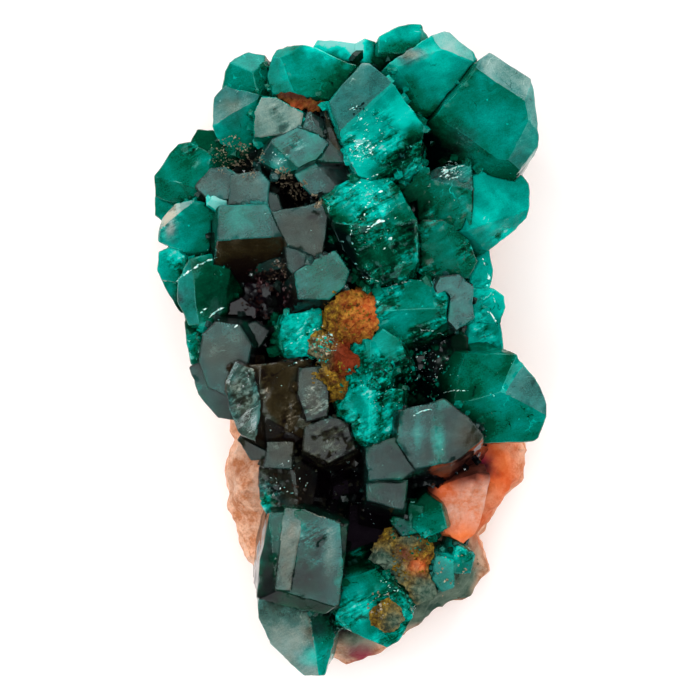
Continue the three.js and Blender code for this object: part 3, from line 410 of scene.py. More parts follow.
# Bright flakes, pale slivers that stand for painted glints: place on the whole object, radius of the patch in
# mm, how many, their length in mm.
FLAKES = [
    (0.53, 0.805, 1.2, 150, 0.15),
    (0.55, 0.835, 2.0, 50, 0.12),
    (0.52, 0.865, 0.9, 60, 0.16),
    (0.55, 0.735, 1.2, 30, 0.14),
    (0.56, 0.690, 2.6, 30, 0.14),
    (0.76, 0.775, 1.0, 90, 0.20),
    (0.70, 0.470, 1.8, 36, 0.15),
    (0.58, 0.440, 2.2, 40, 0.12),
    (0.32, 0.795, 0.8, 26, 0.16),
    (0.44, 0.510, 1.2, 40, 0.14),
    (0.52, 0.280, 3.5, 26, 0.12),
    (0.34, 0.300, 2.0, 30, 0.13),
    (0.60, 0.130, 1.4, 30, 0.13),
    (0.50, 0.550, 17.0, 110, 0.07),
]
# Bright cracks, strings of pale slivers that stand for painted glints: both ends on the whole object, and how
# many slivers lie along the crack.
CRACKS = [
    (0.54, 0.680, 0.60, 0.700, 34),
    (0.055, 0.605, 0.16, 0.642, 46),
    (0.135, 0.545, 0.18, 0.565, 34),
    (0.12, 0.555, 0.135, 0.562, 12),
    (0.51, 0.612, 0.61, 0.595, 16),
    (0.60, 0.598, 0.74, 0.607, 22),
    (0.73, 0.765, 0.79, 0.782, 50),
    (0.66, 0.400, 0.72, 0.408, 20),
    (0.72, 0.430, 0.80, 0.437, 18),
    (0.84, 0.640, 0.87, 0.575, 20),
    (0.85, 0.560, 0.88, 0.535, 20),
    (0.33, 0.500, 0.44, 0.540, 24),
    (0.34, 0.475, 0.42, 0.485, 14),
    (0.49, 0.740, 0.58, 0.770, 14),
    (0.68, 0.530, 0.75, 0.520, 18),
]

# ---------------------------------------------------------------- noise

LATTICE_SIDE = 32
SPOT_WOBBLE = 0.35
LATTICE = rng.normal(size=(LATTICE_SIDE, LATTICE_SIDE, LATTICE_SIDE, 3))
LATTICE /= np.linalg.norm(LATTICE, axis=3, keepdims=True)


def waves(points, size, shift=0.0):
    """Smooth noise between about -1 and 1, with features `size` metres across."""
    place = points / size + shift
    cell = np.floor(place).astype(int)
    inside = place - cell
    ease = inside**3 * (inside * (inside * 6 - 15) + 10)
    total = np.zeros(len(points))
    for corner in itertools.product((0, 1), repeat=3):
        corner = np.array(corner)
        slope = LATTICE[tuple(((cell + corner) % LATTICE_SIDE).T)]
        share = np.prod(np.where(corner, ease, 1 - ease), axis=1)
        total += share * ((inside - corner) * slope).sum(axis=1)
    return total * 1.7


def rough(points, size, shift=0.0, octaves=4, fade=0.5):
    """Noise with ever finer and weaker waves on top of each other."""
    return sum(fade**k * waves(points, size / 2**k, shift + 7.3 * k) for k in range(octaves))


def smoothstep(low, high, value):
    t = np.clip((value - low) / (high - low), 0, 1)
    return t * t * (3 - 2 * t)


def spots_at(kind, node, points):
    """How strongly each point lies in the spots of that kind."""
    low, high = (np.array(corner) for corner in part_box(node))
    found = np.zeros(len(points))
    for across, along, radius, strength in SPOTS[kind].get(node, []):
        centre = low[:2] + (high - low)[:2] * (across, along)
        away = np.linalg.norm((points[:, :2] - centre) / (np.array(radius) * MM), axis=1)
        away = away * (1 + SPOT_WOBBLE * waves(points, 0.6 * np.min(radius) * MM, 3.0))
        found += strength * np.exp(-(away**2))
    return found


# ---------------------------------------------------------------- filling faces with even triangles

WELD = 0.08 * MM
COPLANAR = math.radians(1.5)


def cleaned(node):
    """The CAD node as flat faces with shared corners."""
    bm = bmesh.new()
    bm.from_mesh(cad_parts[node].data)
    bmesh.ops.remove_doubles(bm, verts=bm.verts, dist=WELD)
    bmesh.ops.dissolve_degenerate(bm, edges=bm.edges, dist=WELD / 3)
    bmesh.ops.dissolve_limit(bm, angle_limit=COPLANAR, verts=bm.verts, edges=bm.edges)
    bm.normal_update()
    return bm


def number_crystals(bm):
    """Faces that meet at convex edges belong to one crystal; a crease parts two crystals."""
    layer = bm.faces.layers.int.new("crystal")
    number = 0
    for start in bm.faces:
        if start[layer]:
            continue
        number += 1
        start[layer] = number
        front = [start]
        while front:
            face = front.pop()
            for edge in face.edges:
                if not edge.is_manifold or not edge.is_convex:
                    continue
                for other in edge.link_faces:
                    if not other[layer]:
                        other[layer] = number
                        front.append(other)
    return layer


def inside(ring, spots):
    """Which spots lie in the closed outline `ring`."""
    x, y = spots.T
    found = np.zeros(len(spots), bool)
    for (ax, ay), (bx, by) in zip(ring, np.roll(ring, -1, axis=0)):
        if ay != by:
            crossing = (ay > y) != (by > y)
            found ^= crossing & (x < (bx - ax) * (y - ay) / (by - ay) + ax)
    return found


def lattice(ring, spacing):
    """Spots in the outline, about `spacing` apart and clear of its rim, and how far in each is."""
    low, high = ring.min(axis=0), ring.max(axis=0)
    across, along = np.maximum(np.ceil((high - low) / (spacing, spacing * 0.87)).astype(int), 0) + 1
    row, column = np.mgrid[0:along, 0:across]
    spots = np.column_stack([(column + 0.5 * (row % 2)).ravel(), 0.87 * row.ravel()]) * spacing + low
    spots = spots + rng.uniform(-0.15, 0.15, spots.shape) * spacing
    spots = spots[inside(ring, spots)]
    if not len(spots):
        return spots, np.zeros(0)
    away = np.linalg.norm(spots[:, None] - ring[None], axis=2).min(axis=1)
    return spots[away > 0.62 * spacing], away[away > 0.62 * spacing]


def filled(bm, grain, *layers):
    """Even triangles over the mesh: neighbouring faces share the cuts of their edges, and each is filled on a
    lattice. Gives the points, the triangles, a column of face numbers for each layer, and how far each point
    is from a rim."""
    bm.verts.index_update()
    bm.edges.index_update()
    points = [v.co.copy() for v in bm.verts]
    chains = []
    for edge in bm.edges:
        start, end = edge.verts
        parts = max(1, round(edge.calc_length() / grain))
        between = range(len(points), len(points) + parts - 1)
        points.extend(start.co.lerp(end.co, k / parts) for k in range(1, parts))
        chains.append([start.index, *between, end.index])
    depth = [0.0] * len(points)
    faces, tags = [], []
    for face in bm.faces:
        ring = []
        for loop in face.loops:
            chain = chains[loop.edge.index]
            ring.extend(chain[:-1] if chain[0] == loop.vert.index else chain[:0:-1])
        origin, normal = face.calc_center_median(), face.normal
        u = normal.orthogonal().normalized()
        v = normal.cross(u)
        axes = np.array([u, v]).T
        flat = (np.array([points[i] for i in ring]) - np.array(origin)) @ axes
        spots, away = lattice(flat, grain) if face.calc_area() > grain**2 else (np.zeros((0, 2)), ())
        numbers = ring + list(range(len(points), len(points) + len(spots)))
        points.extend(origin + u * float(x) + v * float(y) for x, y in spots)
        depth.extend(away)
        corners = [Vector(p) for p in np.vstack([flat, spots]) / MM]
        _, _, triangles, sources, _, _ = delaunay_2d_cdt(corners, [], [list(range(len(ring)))], 1, 1e-5)
        found = [[numbers[sources[i][0]] for i in triangle] for triangle in triangles
                 if all(sources[i] for i in triangle)]
        faces.extend(found)
        tags.extend([[face[layer] for layer in layers]] * len(found))
    bm.free()
    tags = np.array(tags, dtype=int).reshape(len(faces), -1)
    return np.array(points), np.array(faces), tags, np.array(depth)


def face_crosses(points, faces):
    a, b, c = points[faces].transpose(1, 0, 2)
    return np.cross(b - a, c - a)


def unit(vectors):
    return vectors / np.maximum(np.linalg.norm(vectors, axis=1, keepdims=True), 1e-20)


def vertex_normals(points, faces):
    total = np.zeros_like(points)
    cross = face_crosses(points, faces)
    for corner in range(3):
        np.add.at(total, faces[:, corner], cross)
    return unit(total)


def sharp_edges(points, faces, facets, angle):
    """The edges where two facets meet, or where the surface turns by more than `angle`."""
    pairs = np.sort(faces[:, [[0, 1], [1, 2], [2, 0]]].reshape(-1, 2), axis=1)
    edges, index = np.unique(pairs, axis=0, return_inverse=True)
    order = np.argsort(index.ravel(), kind="stable")
    owner = order // 3
    first = np.searchsorted(index.ravel()[order], np.arange(len(edges)))
    last = np.append(first[1:], len(order)) - 1
    one, two = owner[first], owner[last]
    normals = unit(face_crosses(points, faces))
    turned = (normals[one] * normals[two]).sum(axis=1) < math.cos(angle)
    return edges[turned | (facets[one] != facets[two])]


def within_box(points):
    return np.clip(points, np.array(CAD_LOW), np.array(CAD_HIGH))


def solid(name, points, faces, sharp=()):
    mesh = bpy.data.meshes.new(name)
    mesh.from_pydata(within_box(points), [], faces)
    mesh.shade_smooth()
    if len(sharp):
        keys = np.zeros(len(mesh.edges) * 2, np.int32)
        mesh.edges.foreach_get("vertices", keys)
        keys = np.sort(keys.reshape(-1, 2), axis=1).astype(np.int64)
        sharp = np.sort(sharp, axis=1).astype(np.int64)
        many = len(points) + 1
        flags = np.isin(keys[:, 0] * many + keys[:, 1], sharp[:, 0] * many + sharp[:, 1])
        mesh.attributes.new("sharp_edge", "BOOLEAN", "EDGE").data.foreach_set("value", flags)
    return mesh


def write(mesh, name, values, domain):
    attribute = mesh.attributes.new(name, "FLOAT", domain)
    attribute.data.foreach_set("value", np.asarray(values, dtype=np.float32))


# ---------------------------------------------------------------- shapes

EDGE_ANGLE = math.radians(8)
BEVEL = 0.035 * MM
SWELL = 0.12 * MM
CRYSTAL_GRAIN = 0.27 * MM
BROKEN_GRAIN = 0.19 * MM
ROCK_GRAIN = 0.42 * MM
LUMP_GRAIN = 0.22 * MM
SHARP_TURN = math.radians(24)
BEND = np.array([0.16, 0.16, 0.03]) * MM
BEND_SIZE = 3.4 * MM


def bent(points):
    """Everything is bent by one smooth field, so neighbours still fit; the flat base stays flat."""
    rise = np.clip(points[:, 2] / (3 * MM), 0, 1)[:, None]
    shift = [rough(points, BEND_SIZE, seed, octaves=3, fade=0.4) for seed in (11.0, 23.0, 41.0)]
    return points + np.column_stack(shift) * BEND * rise


def chipped(points, faces, size, level, lean):
    """Small flat chips at random levels and tilts, longer than they are wide, as on a broken face."""
    area = np.linalg.norm(face_crosses(points, faces), axis=1).sum() / 2
    seeds = points[rng.integers(len(points), size=int(area / size**2) + 1)]
    stretch = np.array([[0.80, 0.45, 0.0], [-0.60, 1.05, 0.0], [0.0, 0.0, 1.0]])
    tree = KDTree(len(seeds))
    for i, seed in enumerate(seeds @ stretch.T):
        tree.insert(seed, i)
    tree.balance()
    nearest = np.array([tree.find(p)[1] for p in points @ stretch.T])
    levels = rng.normal(size=len(seeds)) * level
    leans = rng.normal(size=(len(seeds), 3)) * lean
    return levels[nearest] + ((points - seeds[nearest]) * leans[nearest]).sum(axis=1)


def crystal_shape(node):
    broken = CHARACTER[node][2]
    bm = cleaned(node)
    crystal = number_crystals(bm)
    facet = bm.faces.layers.int.new("facet")
    for number, face in enumerate(bm.faces, 1):
        face[facet] = number
    sharp = [e for e in bm.edges if e.is_manifold and e.is_convex and e.calc_face_angle(0) > EDGE_ANGLE]
    made = bmesh.ops.bevel(bm, geom=sharp, offset=BEVEL, offset_type="OFFSET", segments=1, profile=0.5,
                           affect="EDGES", clamp_overlap=False)
    for face in made["faces"]:
        face[facet] = 0
    grain = BROKEN_GRAIN if broken > 0.5 else CRYSTAL_GRAIN
    points, faces, tags, away = filled(bm, grain, facet, crystal)
    inner = np.clip(away / (0.5 * MM), 0, 1)
    normals = vertex_normals(points, faces)
    breaks = 1.5 * (broken + spots_at("broken", node, points) - 0.5)
    worn = smoothstep(-0.12, 0.12, waves(points, 3.5 * MM, 5.0) * 0.7 + breaks)
    lift = (waves(points, 3.2 * MM) * 0.020 + waves(points, 1.1 * MM, 9.0) * 0.006) * inner * MM
    if worn.max() > 0.05:
        broad = chipped(points, faces, 2.0 * MM, 0.09 * MM, 0.15)
        fine = chipped(points, faces, 0.6 * MM, 0.025 * MM, 0.25)
        crumbled = smoothstep(0.0, 0.25, waves(points, 2.2 * MM, 31.0) + 0.9 * (broken - 0.6))
        depth = 0.4 if node in SMOKY else 0.8
        lift = lift + (broad + fine * crumbled) * worn * depth * (0.25 + 0.75 * inner)
    nicks = smoothstep(0.25, 0.6, waves(points, 0.9 * MM, 17.0)) * (1 - inner)
    lift = lift - 0.10 * MM * nicks
    points = bent(points + normals * (SWELL + lift)[:, None])
    rim = smoothstep(1.0, 0.0, away / (0.9 * MM) + 0.6 * waves(points, 1.3 * MM, 13.0))
    return {"node": node, "points": points, "faces": faces, "facets": tags[:, 0], "crystals": tags[:, 1],
            "worn": worn, "rim": rim}


def rock_shape(node):
    lump = node.startswith("limonite")
    points, faces, _, _ = filled(cleaned(node), LUMP_GRAIN if lump else ROCK_GRAIN)
    normals = vertex_normals(points, faces)
    if lump:
        lift = rough(points, 1.3 * MM, octaves=3, fade=0.7) * 0.22 * MM
        lift = lift + chipped(points, faces, 0.5 * MM, 0.08 * MM, 0.35)
    else:
        lift = rough(points, 3.0 * MM, octaves=4, fade=0.55) * 0.45 * MM
    points = points + normals * (lift * np.clip(points[:, 2] / MM, 0, 1))[:, None]
    points = bent(points)
    points[:, 2] = np.maximum(points[:, 2], 0)
    facets = np.zeros(len(faces), int)
    return {"node": node, "points": points, "faces": faces, "facets": facets}


# ---------------------------------------------------------------- surroundings

GRID = 0.3 * MM
REACH = 3.0 * MM
DEEP = 7.0 * MM


def cell_of(points):
    return tuple(((within_box(points)[:, :2] - np.array(CAD_LOW)[:2]) / GRID).astype(int).T)


def height_map(shapes):
    """The highest point of these shapes over each cell of a grid on the floor."""
    size = np.ceil(np.array(CAD_HIGH - CAD_LOW)[:2] / GRID).astype(int) + 2
    heights = np.zeros(size)
    for shape in shapes:
        np.maximum.at(heights, cell_of(shape["points"]), shape["points"][:, 2])
    return heights


def over_disc(values, combine):
    """Combines each cell with the cells within REACH of it."""
    steps = int(REACH / GRID)
    padded = np.pad(values, steps)
    rows, columns = values.shape
    shifts = itertools.product(range(-steps, steps + 1), repeat=2)
    return combine([padded[steps + i:steps + i + rows, steps + j:steps + j + columns]
                    for i, j in shifts if i * i + j * j <= steps * steps])


def surroundings(shapes):
    """The level of the highest surface near each cell, and how much of what is near it is crystal."""
    crystals = height_map([shape for shape in shapes if shape["node"].startswith("crystal")])
    others = height_map([shape for shape in shapes if not shape["node"].startswith("crystal")])
    level = over_disc(np.maximum(crystals, others), lambda cells: np.max(cells, axis=0))
    level = over_disc(level, lambda cells: np.mean(cells, axis=0))
    return level, over_disc((crystals > others).astype(float), lambda cells: np.mean(cells, axis=0))


# ---------------------------------------------------------------- small crystals, grains and flakes

LUMP_KINDS = 6
SMALL_CRYSTALS = 600
CREVICE = 2.2 * MM
LOWEST_SMALL = 6 * MM


def lump_template():
    """An irregular chip: the hull of a few random spots."""
    bm = bmesh.new()
    for spot in unit(rng.normal(size=(10, 3))) * rng.uniform(0.35, 0.6, (10, 1)):
        bm.verts.new(spot)
    bmesh.ops.convex_hull(bm, input=bm.verts)
    bmesh.ops.delete(bm, geom=[v for v in bm.verts if not v.link_faces], context="VERTS")
    bm.verts.index_update()
    points = np.array([v.co for v in bm.verts])
    faces = np.array([[v.index for v in face.verts] for face in bm.faces])
    bm.free()
    return points, faces


def prism_template():
    """A short six-sided crystal with a three-faced point at each end, one long and one wide."""
    corners = [(0.5 * math.cos(k * math.pi / 3), 0.5 * math.sin(k * math.pi / 3)) for k in range(6)]
    top = [(x, y, 0.28 + 0.14 * (k % 2)) for k, (x, y) in enumerate(corners)]
    bottom = [(x, y, -z) for x, y, z in top]
    points = np.array(top + bottom + [(0, 0, 0.5), (0, 0, -0.5)])
    faces = []
    for k in range(6):
        after = (k + 1) % 6
        faces += [(k, k + 6, after), (after, k + 6, after + 6), (k, after, 12), (after + 6, k + 6, 13)]
    return points, np.array(faces)


def standing(axis, spin, lean):
    """Turns a template's own Z toward `axis`, tipped at random by about `lean`."""
    axis = Vector(axis) + Vector(rng.normal(size=3)) * lean
    return np.array(axis.to_track_quat("Z", "Y").to_matrix() @ Matrix.Rotation(spin, 3, "Z"))


def gathered(items):
    """Joins placed templates (points, faces) into one mesh, with the number of its item for each face."""
    points, faces, owners, start = [], [], [], 0
    for number, (these, corners) in enumerate(items):
        points.append(these)
        faces.append(corners + start)
        owners.append(np.full(len(corners), number))
        start += len(these)
    return np.concatenate(points), np.concatenate(faces), np.concatenate(owners)


def surface_tree(shapes):
    points, faces, owners = gathered([(shape["points"], shape["faces"]) for shape in shapes])
    return BVHTree.FromPolygons(points.tolist(), faces.tolist()), owners


def straight_down(across, along, radius):
    """A random ray down onto a round patch of the object."""
    size = CAD_HIGH - CAD_LOW
    turn = rng.uniform(0, 2 * math.pi)
    reach = radius * MM * math.sqrt(rng.random())
    x = CAD_LOW.x + size.x * across + reach * math.cos(turn)
    y = CAD_LOW.y + size.y * along + reach * math.sin(turn)
    return Vector((x, y, 2 * CAD_HIGH.z)), Vector((0, 0, -1))


def from_around():
    """A random ray from anywhere above onto a random spot of the object."""
    size = CAD_HIGH - CAD_LOW
    target = CAD_LOW + Vector(rng.random() * length for length in size)
    toward = Vector(unit(rng.normal(size=(1, 3)))[0])
    toward.z = abs(toward.z) + 0.25
    toward.normalize()
    return target + toward * 2 * size.length, -toward


# ---------------------------------------------------------------- materials

CLEAR = 0.5


def new_material(name):
    material = bpy.data.materials.new(name)
    material.use_nodes = True
    return material, material.node_tree, material.node_tree.nodes["Principled BSDF"]


def place(tree):
    return add(tree, "ShaderNodeTexCoord", {}, {}).outputs["Object"]


def cloud(tree, size, detail=4.0, roughness=0.6, distortion=0.0, where=None):
    """Noise from 0 to 1 with features `size` metres across."""
    inputs = {"Vector": where or place(tree), "Scale": 1 / size, "Detail": detail, "Roughness": roughness,
              "Distortion": distortion}
    return add(tree, "ShaderNodeTexNoise", {}, inputs).outputs["Fac"]


def streaked(tree, degrees, stretch):
    """Coordinates in which noise comes out as streaks that rise to the right by `degrees`."""
    turn = (0.0, 0.0, -math.radians(degrees))
    turned = add(tree, "ShaderNodeMapping", {}, {"Vector": place(tree), "Rotation": turn}).outputs[0]
    squeeze = (1 / stretch, 1.0, 1.0)
    return add(tree, "ShaderNodeMapping", {}, {"Vector": turned, "Scale": squeeze}).outputs[0]


def wobbled(tree, size, amount):
    """Coordinates shaken by noise, so that the edges of cells run crooked."""
    shake = add(tree, "ShaderNodeTexNoise", {}, {"Vector": place(tree), "Scale": 1 / size, "Detail": 3.0})
    moves = {0: shake.outputs["Color"], 1: (0.5, 0.5, 0.5)}
    moves = add(tree, "ShaderNodeVectorMath", {"operation": "SUBTRACT"}, moves).outputs[0]
    moves = add(tree, "ShaderNodeVectorMath", {"operation": "SCALE"}, {0: moves, "Scale": amount}).outputs[0]
    return add(tree, "ShaderNodeVectorMath", {"operation": "ADD"}, {0: place(tree), 1: moves}).outputs[0]


def cells(tree, size, output="Distance", feature="F1", where=None):
    inputs = {"Vector": where or place(tree), "Scale": 1 / size}
    return add(tree, "ShaderNodeTexVoronoi", {"feature": feature}, inputs).outputs[output]


def painted(tree, name):
    return add(tree, "ShaderNodeAttribute", {"attribute_name": name}, {}).outputs["Fac"]


def mixed(tree, share, a, b, blend="MIX"):
    settings = {"data_type": "RGBA", "blend_type": blend}
    return add(tree, "ShaderNodeMix", settings, {0: share, 6: a, 7: b}).outputs[2]


def bumped(tree, shader, height, strength, distance):
    inputs = {"Strength": strength, "Distance": distance, "Height": height}
    tree.links.new(add(tree, "ShaderNodeBump", {}, inputs).outputs["Normal"], shader.inputs["Normal"])


TEAL = [(0.0, (0.0, 0.003, 0.003)), (0.2, (0.0, 0.026, 0.011)), (0.38, (0.0, 0.12, 0.056)),
        (0.5, (0.0, 0.27, 0.18)), (0.62, (0.0, 0.46, 0.37)), (0.76, (0.0, 0.80, 0.64)),
        (0.9, (0.0, 1.0, 0.84)), (1.0, (0.35, 1.0, 0.93))]
SLATE = [(0.0, (0.003, 0.002, 0.004)), (0.25, (0.006, 0.012, 0.011)), (0.42, (0.012, 0.045, 0.04)),
         (0.55, (0.025, 0.12, 0.11)), (0.7, (0.05, 0.28, 0.26)), (1.0, (0.5, 0.75, 0.7))]
EARTH = [(0.0, (0.004, 0.001, 0.003)), (0.25, (0.014, 0.008, 0.005)), (0.42, (0.045, 0.033, 0.012)),
         (0.55, (0.105, 0.085, 0.048)), (0.7, (0.24, 0.20, 0.14)), (1.0, (0.85, 0.76, 0.60))]
MAUVE = [(0.0, (0.004, 0.001, 0.004)), (0.25, (0.014, 0.003, 0.006)), (0.42, (0.05, 0.014, 0.018)),
         (0.55, (0.12, 0.055, 0.06)), (0.7, (0.26, 0.16, 0.16)), (1.0, (0.8, 0.6, 0.6))]


def centred(tree, value, gain):
    """`value` about 0.5, turned into a number about 0 and scaled."""
    return sums(tree, "MULTIPLY_ADD", value, gain, -0.5 * gain)


def fracture_level(tree):
    """How pale a crystal is from point to point: clouds, streaks, cracks and flecks over its own tone, with
    the painted light and shade of the light attribute and painted glints on top.
    """
    worn = painted(tree, "worn")
    level = sums(tree, "ADD", painted(tree, "tone"), painted(tree, "light"))
    level = sums(tree, "ADD", level, centred(tree, cloud(tree, 3.0 * MM, 3, 0.5, 0.6), 0.50))
    depths = centred(tree, cloud(tree, 1.8 * MM, 3, 0.55, 0.8), 0.9)
    level = sums(tree, "MULTIPLY_ADD", depths, worn, level)
    level = sums(tree, "ADD", level, centred(tree, cloud(tree, 0.13 * MM, 2, 0.7), 0.24))
    busy = sums(tree, "MULTIPLY_ADD", worn, 0.85, 0.15)
    level = sums(tree, "MULTIPLY_ADD", centred(tree, cloud(tree, 0.6 * MM, 5, 0.75), 0.7), busy, level)
    streaks = centred(tree, cloud(tree, 0.45 * MM, 4, 0.7, where=streaked(tree, 28, 6.0)), 1.3)
    level = sums(tree, "MULTIPLY_ADD", streaks, busy, level)
    shards = cells(tree, 1.3 * MM, "Color", where=wobbled(tree, 0.6 * MM, 0.8 * MM))
    level = sums(tree, "MULTIPLY_ADD", centred(tree, shards, 0.34), worn, level)
    bends = wobbled(tree, 1.5 * MM, 2.0 * MM)
    crack = cells(tree, 2.6 * MM, feature="DISTANCE_TO_EDGE", where=bends)
    crack = ramp(tree, crack, (0.0, 1.0), (0.022, 0.0))
    where_cracked = ramp(tree, cloud(tree, 4.0 * MM, 2), (0.50, 0.0), (0.62, 1.0))
    crack = sums(tree, "MULTIPLY", crack, where_cracked)
    level = sums(tree, "MULTIPLY_ADD", centred(tree, cloud(tree, 1.5 * MM, 2), 2.0), crack, level)
    specks = wobbled(tree, 0.3 * MM, 0.3 * MM)
    flecks = ramp(tree, cells(tree, 0.40 * MM, where=specks), (0.16, 1.0), (0.26, 0.0))
    chance = sums(tree, "MULTIPLY_ADD", worn, 0.10, cells(tree, 0.40 * MM, "Color", where=specks))
    kept = ramp(tree, chance, (0.92, 0.0), (0.94, 1.0))
    level = sums(tree, "MULTIPLY_ADD", sums(tree, "MULTIPLY", flecks, kept), 0.30, level)
    # Painted glints: bright slivers in clumps, where the glint spots lie.
    slivers = cloud(tree, 0.16 * MM, 3, 0.6, where=streaked(tree, 30, 4.0))
    slivers = ramp(tree, slivers, (0.60, 0.0), (0.70, 1.0))
    clumps = ramp(tree, cloud(tree, 0.9 * MM, 3), (0.46, 0.0), (0.62, 1.0))
    painted_glint = sums(tree, "MULTIPLY", sums(tree, "MULTIPLY", slivers, clumps), painted(tree, "painted_glints"))
    return sums(tree, "MULTIPLY_ADD", painted_glint, 0.42, level)


def crystal_look(name, absorb, density, ior, specular, tint, gloss):
    material, tree, shader = new_material(name)
    level = fracture_level(tree)
    earth = sums(tree, "ADD", painted(tree, "earth"), centred(tree, cloud(tree, 2.0 * MM, 3), 0.65))
    earth = sums(tree, "ADD", earth, painted(tree, "facet_earth_and_sheen"))
    brown = ramp(tree, earth, (0.0, 0.0), (0.85, 1.0))
    colour = mixed(tree, brown, ramp(tree, level, *SLATE), ramp(tree, level, *EARTH))
    mauve = ramp(tree, sums(tree, "ADD", earth, -1.0), (0.1, 0.0), (0.5, 1.0))
    colour = mixed(tree, mauve, colour, ramp(tree, level, *MAUVE))
    teal = ramp(tree, sums(tree, "MULTIPLY", earth, -1.0), (0.0, 0.0), (0.7, 1.0))
    colour = mixed(tree, teal, colour, ramp(tree, level, *TEAL))
    tree.links.new(colour, shader.inputs["Base Color"])
    gloss = ramp(tree, cloud(tree, 1.2 * MM, 6, 0.7), (0.4, gloss[0]), (0.7, gloss[1]))
    tree.links.new(gloss, shader.inputs["Roughness"])
    shader.inputs["Transmission Weight"].default_value = CLEAR
    shader.inputs["IOR"].default_value = ior
    shader.inputs["Specular IOR Level"].default_value = specular
    shader.inputs["Specular Tint"].default_value = (*tint, 1)
    bumped(tree, shader, cloud(tree, 0.35 * MM, 4, 0.65), 0.12, 0.05 * MM)
    volume = add(tree, "ShaderNodeVolumeAbsorption", {}, {"Color": absorb, "Density": density})
    tree.links.new(volume.outputs[0], tree.nodes["Material Output"].inputs["Volume"])
    return material


def rock_look(name, pale, mid, stain, crust_and_shade, red, size, grit):
    """Blotches of three colours, `size` across and darkened by fine grit, under the painted stains and the
    dark crust, which is partly painted shade.
    """
    material, tree, shader = new_material(name)
    colour = ramp(tree, cloud(tree, size, 8, 0.75), (0.40, stain), (0.51, mid), (0.62, pale))
    grit = ramp(tree, cloud(tree, 0.25 * MM, 4, 0.8), (0.35, grit), (0.6, 1.0))
    colour = mixed(tree, 1.0, colour, grit, "MULTIPLY")
    rust = ramp(tree, cloud(tree, size, 6, 0.7), (0.4, (0.72, 0.10, 0.015)), (0.65, (0.90, 0.24, 0.07)))
    colour = mixed(tree, painted(tree, "rust"), colour, rust)
    colour = mixed(tree, painted(tree, "crimson"), colour, red)
    green = ramp(tree, cloud(tree, size, 6, 0.7), (0.4, (0.02, 0.06, 0.04)), (0.65, (0.16, 0.22, 0.16)))
    colour = mixed(tree, painted(tree, "green"), colour, green)
    colour = mixed(tree, painted(tree, "crust_and_shade"), colour, crust_and_shade)
    tree.links.new(colour, shader.inputs["Base Color"])
    shader.inputs["Roughness"].default_value = 0.8
    shader.inputs["Specular IOR Level"].default_value = 0.15
    bumped(tree, shader, cloud(tree, 0.35 * MM, 6, 0.7), 0.6, 0.15 * MM)
    return material


def glint_flake_look():
    material, tree, shader = new_material("glint_flake")
    # Nearly white slivers: painted glints laid on the crystals.
    tint = ramp(tree, cloud(tree, 0.3 * MM, 3), (0.38, (0.05, 0.62, 0.55)), (0.58, (0.85, 1.0, 0.95)))
    tree.links.new(tint, shader.inputs["Base Color"])
    shader.inputs["Roughness"].default_value = 0.3
    return material


looks = {
    "dioptase": crystal_look("dioptase", (0.0, 0.92, 0.89), 1400, 1.42, 0.12, (0.3, 1.0, 0.9), (0.03, 0.10)),
    "dioptase_bright": crystal_look("dioptase_bright", (0.0, 0.95, 0.93), 1200, 1.4, 0.06,
                                    (0.1, 1.0, 0.9), (0.04, 0.16)),
    "dioptase_smoky": crystal_look("dioptase_smoky", (0.1, 0.42, 0.37), 900, 1.34, 0.22,
                                   (0.9, 1.0, 1.0), (0.06, 0.22)),
    "limonite": rock_look("limonite", (0.43, 0.26, 0.02), (0.18, 0.105, 0.006), (0.04, 0.014, 0.002),
                          (0.05, 0.012, 0.004), (0.16, 0.02, 0.003), 0.8 * MM, 0.5),
    "calcite": rock_look("calcite", (0.78, 0.44, 0.36), (0.74, 0.37, 0.26), (0.7, 0.2, 0.08),
                         (0.1, 0.02, 0.01), (0.55, 0.03, 0.01), 3.0 * MM, 0.85),
    "matrix": rock_look("matrix", (0.95, 0.62, 0.46), (0.92, 0.51, 0.33), (0.62, 0.22, 0.09),
                        (0.004, 0.001, 0.005), (0.40, 0.005, 0.05), 3.0 * MM, 0.75),
}
looks["glint_flake"] = glint_flake_look()
looks["crumbs"] = rock_look("crumbs", (0.62, 0.52, 0.36), (0.28, 0.23, 0.15), (0.05, 0.05, 0.03),
                            (0.0, 0.0, 0.0), (0.0, 0.0, 0.0), 0.8 * MM, 0.6)

# ---------------------------------------------------------------- the pieces

# The facets that tip toward the far side are painted paler and slightly grey, a painted reflection of the
# bright band low on the far side.
SHEEN_TILT = math.radians(42)
SHEEN_TOWARD = math.radians(80)
SHEEN_SIDE = np.array([math.sin(SHEEN_TILT) * math.cos(SHEEN_TOWARD),
                       math.sin(SHEEN_TILT) * math.sin(SHEEN_TOWARD), math.cos(SHEEN_TILT)])
SHEEN_PALER = 0.12
SHEEN_EARTHIER = 0.6
# Painted shade: how much darker steep facets and deeply sunk places are, on smoky crystals and on the others.
STEEP_SHADE_SMOKY = 0.20
STEEP_SHADE_TEAL = 0.06
SUNK_SHADE_SMOKY = 0.36
SUNK_SHADE_TEAL = 0.28
TONE_SPREAD = 0.05
# A painted highlight that makes the bevelled edges paler.
EDGE_HIGHLIGHT = 0.03
GREEN_RIM = 0.35
LIMONITE_SHADE = 0.6


def slot_of(node):
    if not node.startswith("crystal"):
        return node.split("_")[0]
    return "dioptase_bright" if node in BRIGHT else "dioptase_smoky" if node in SMOKY else "dioptase"


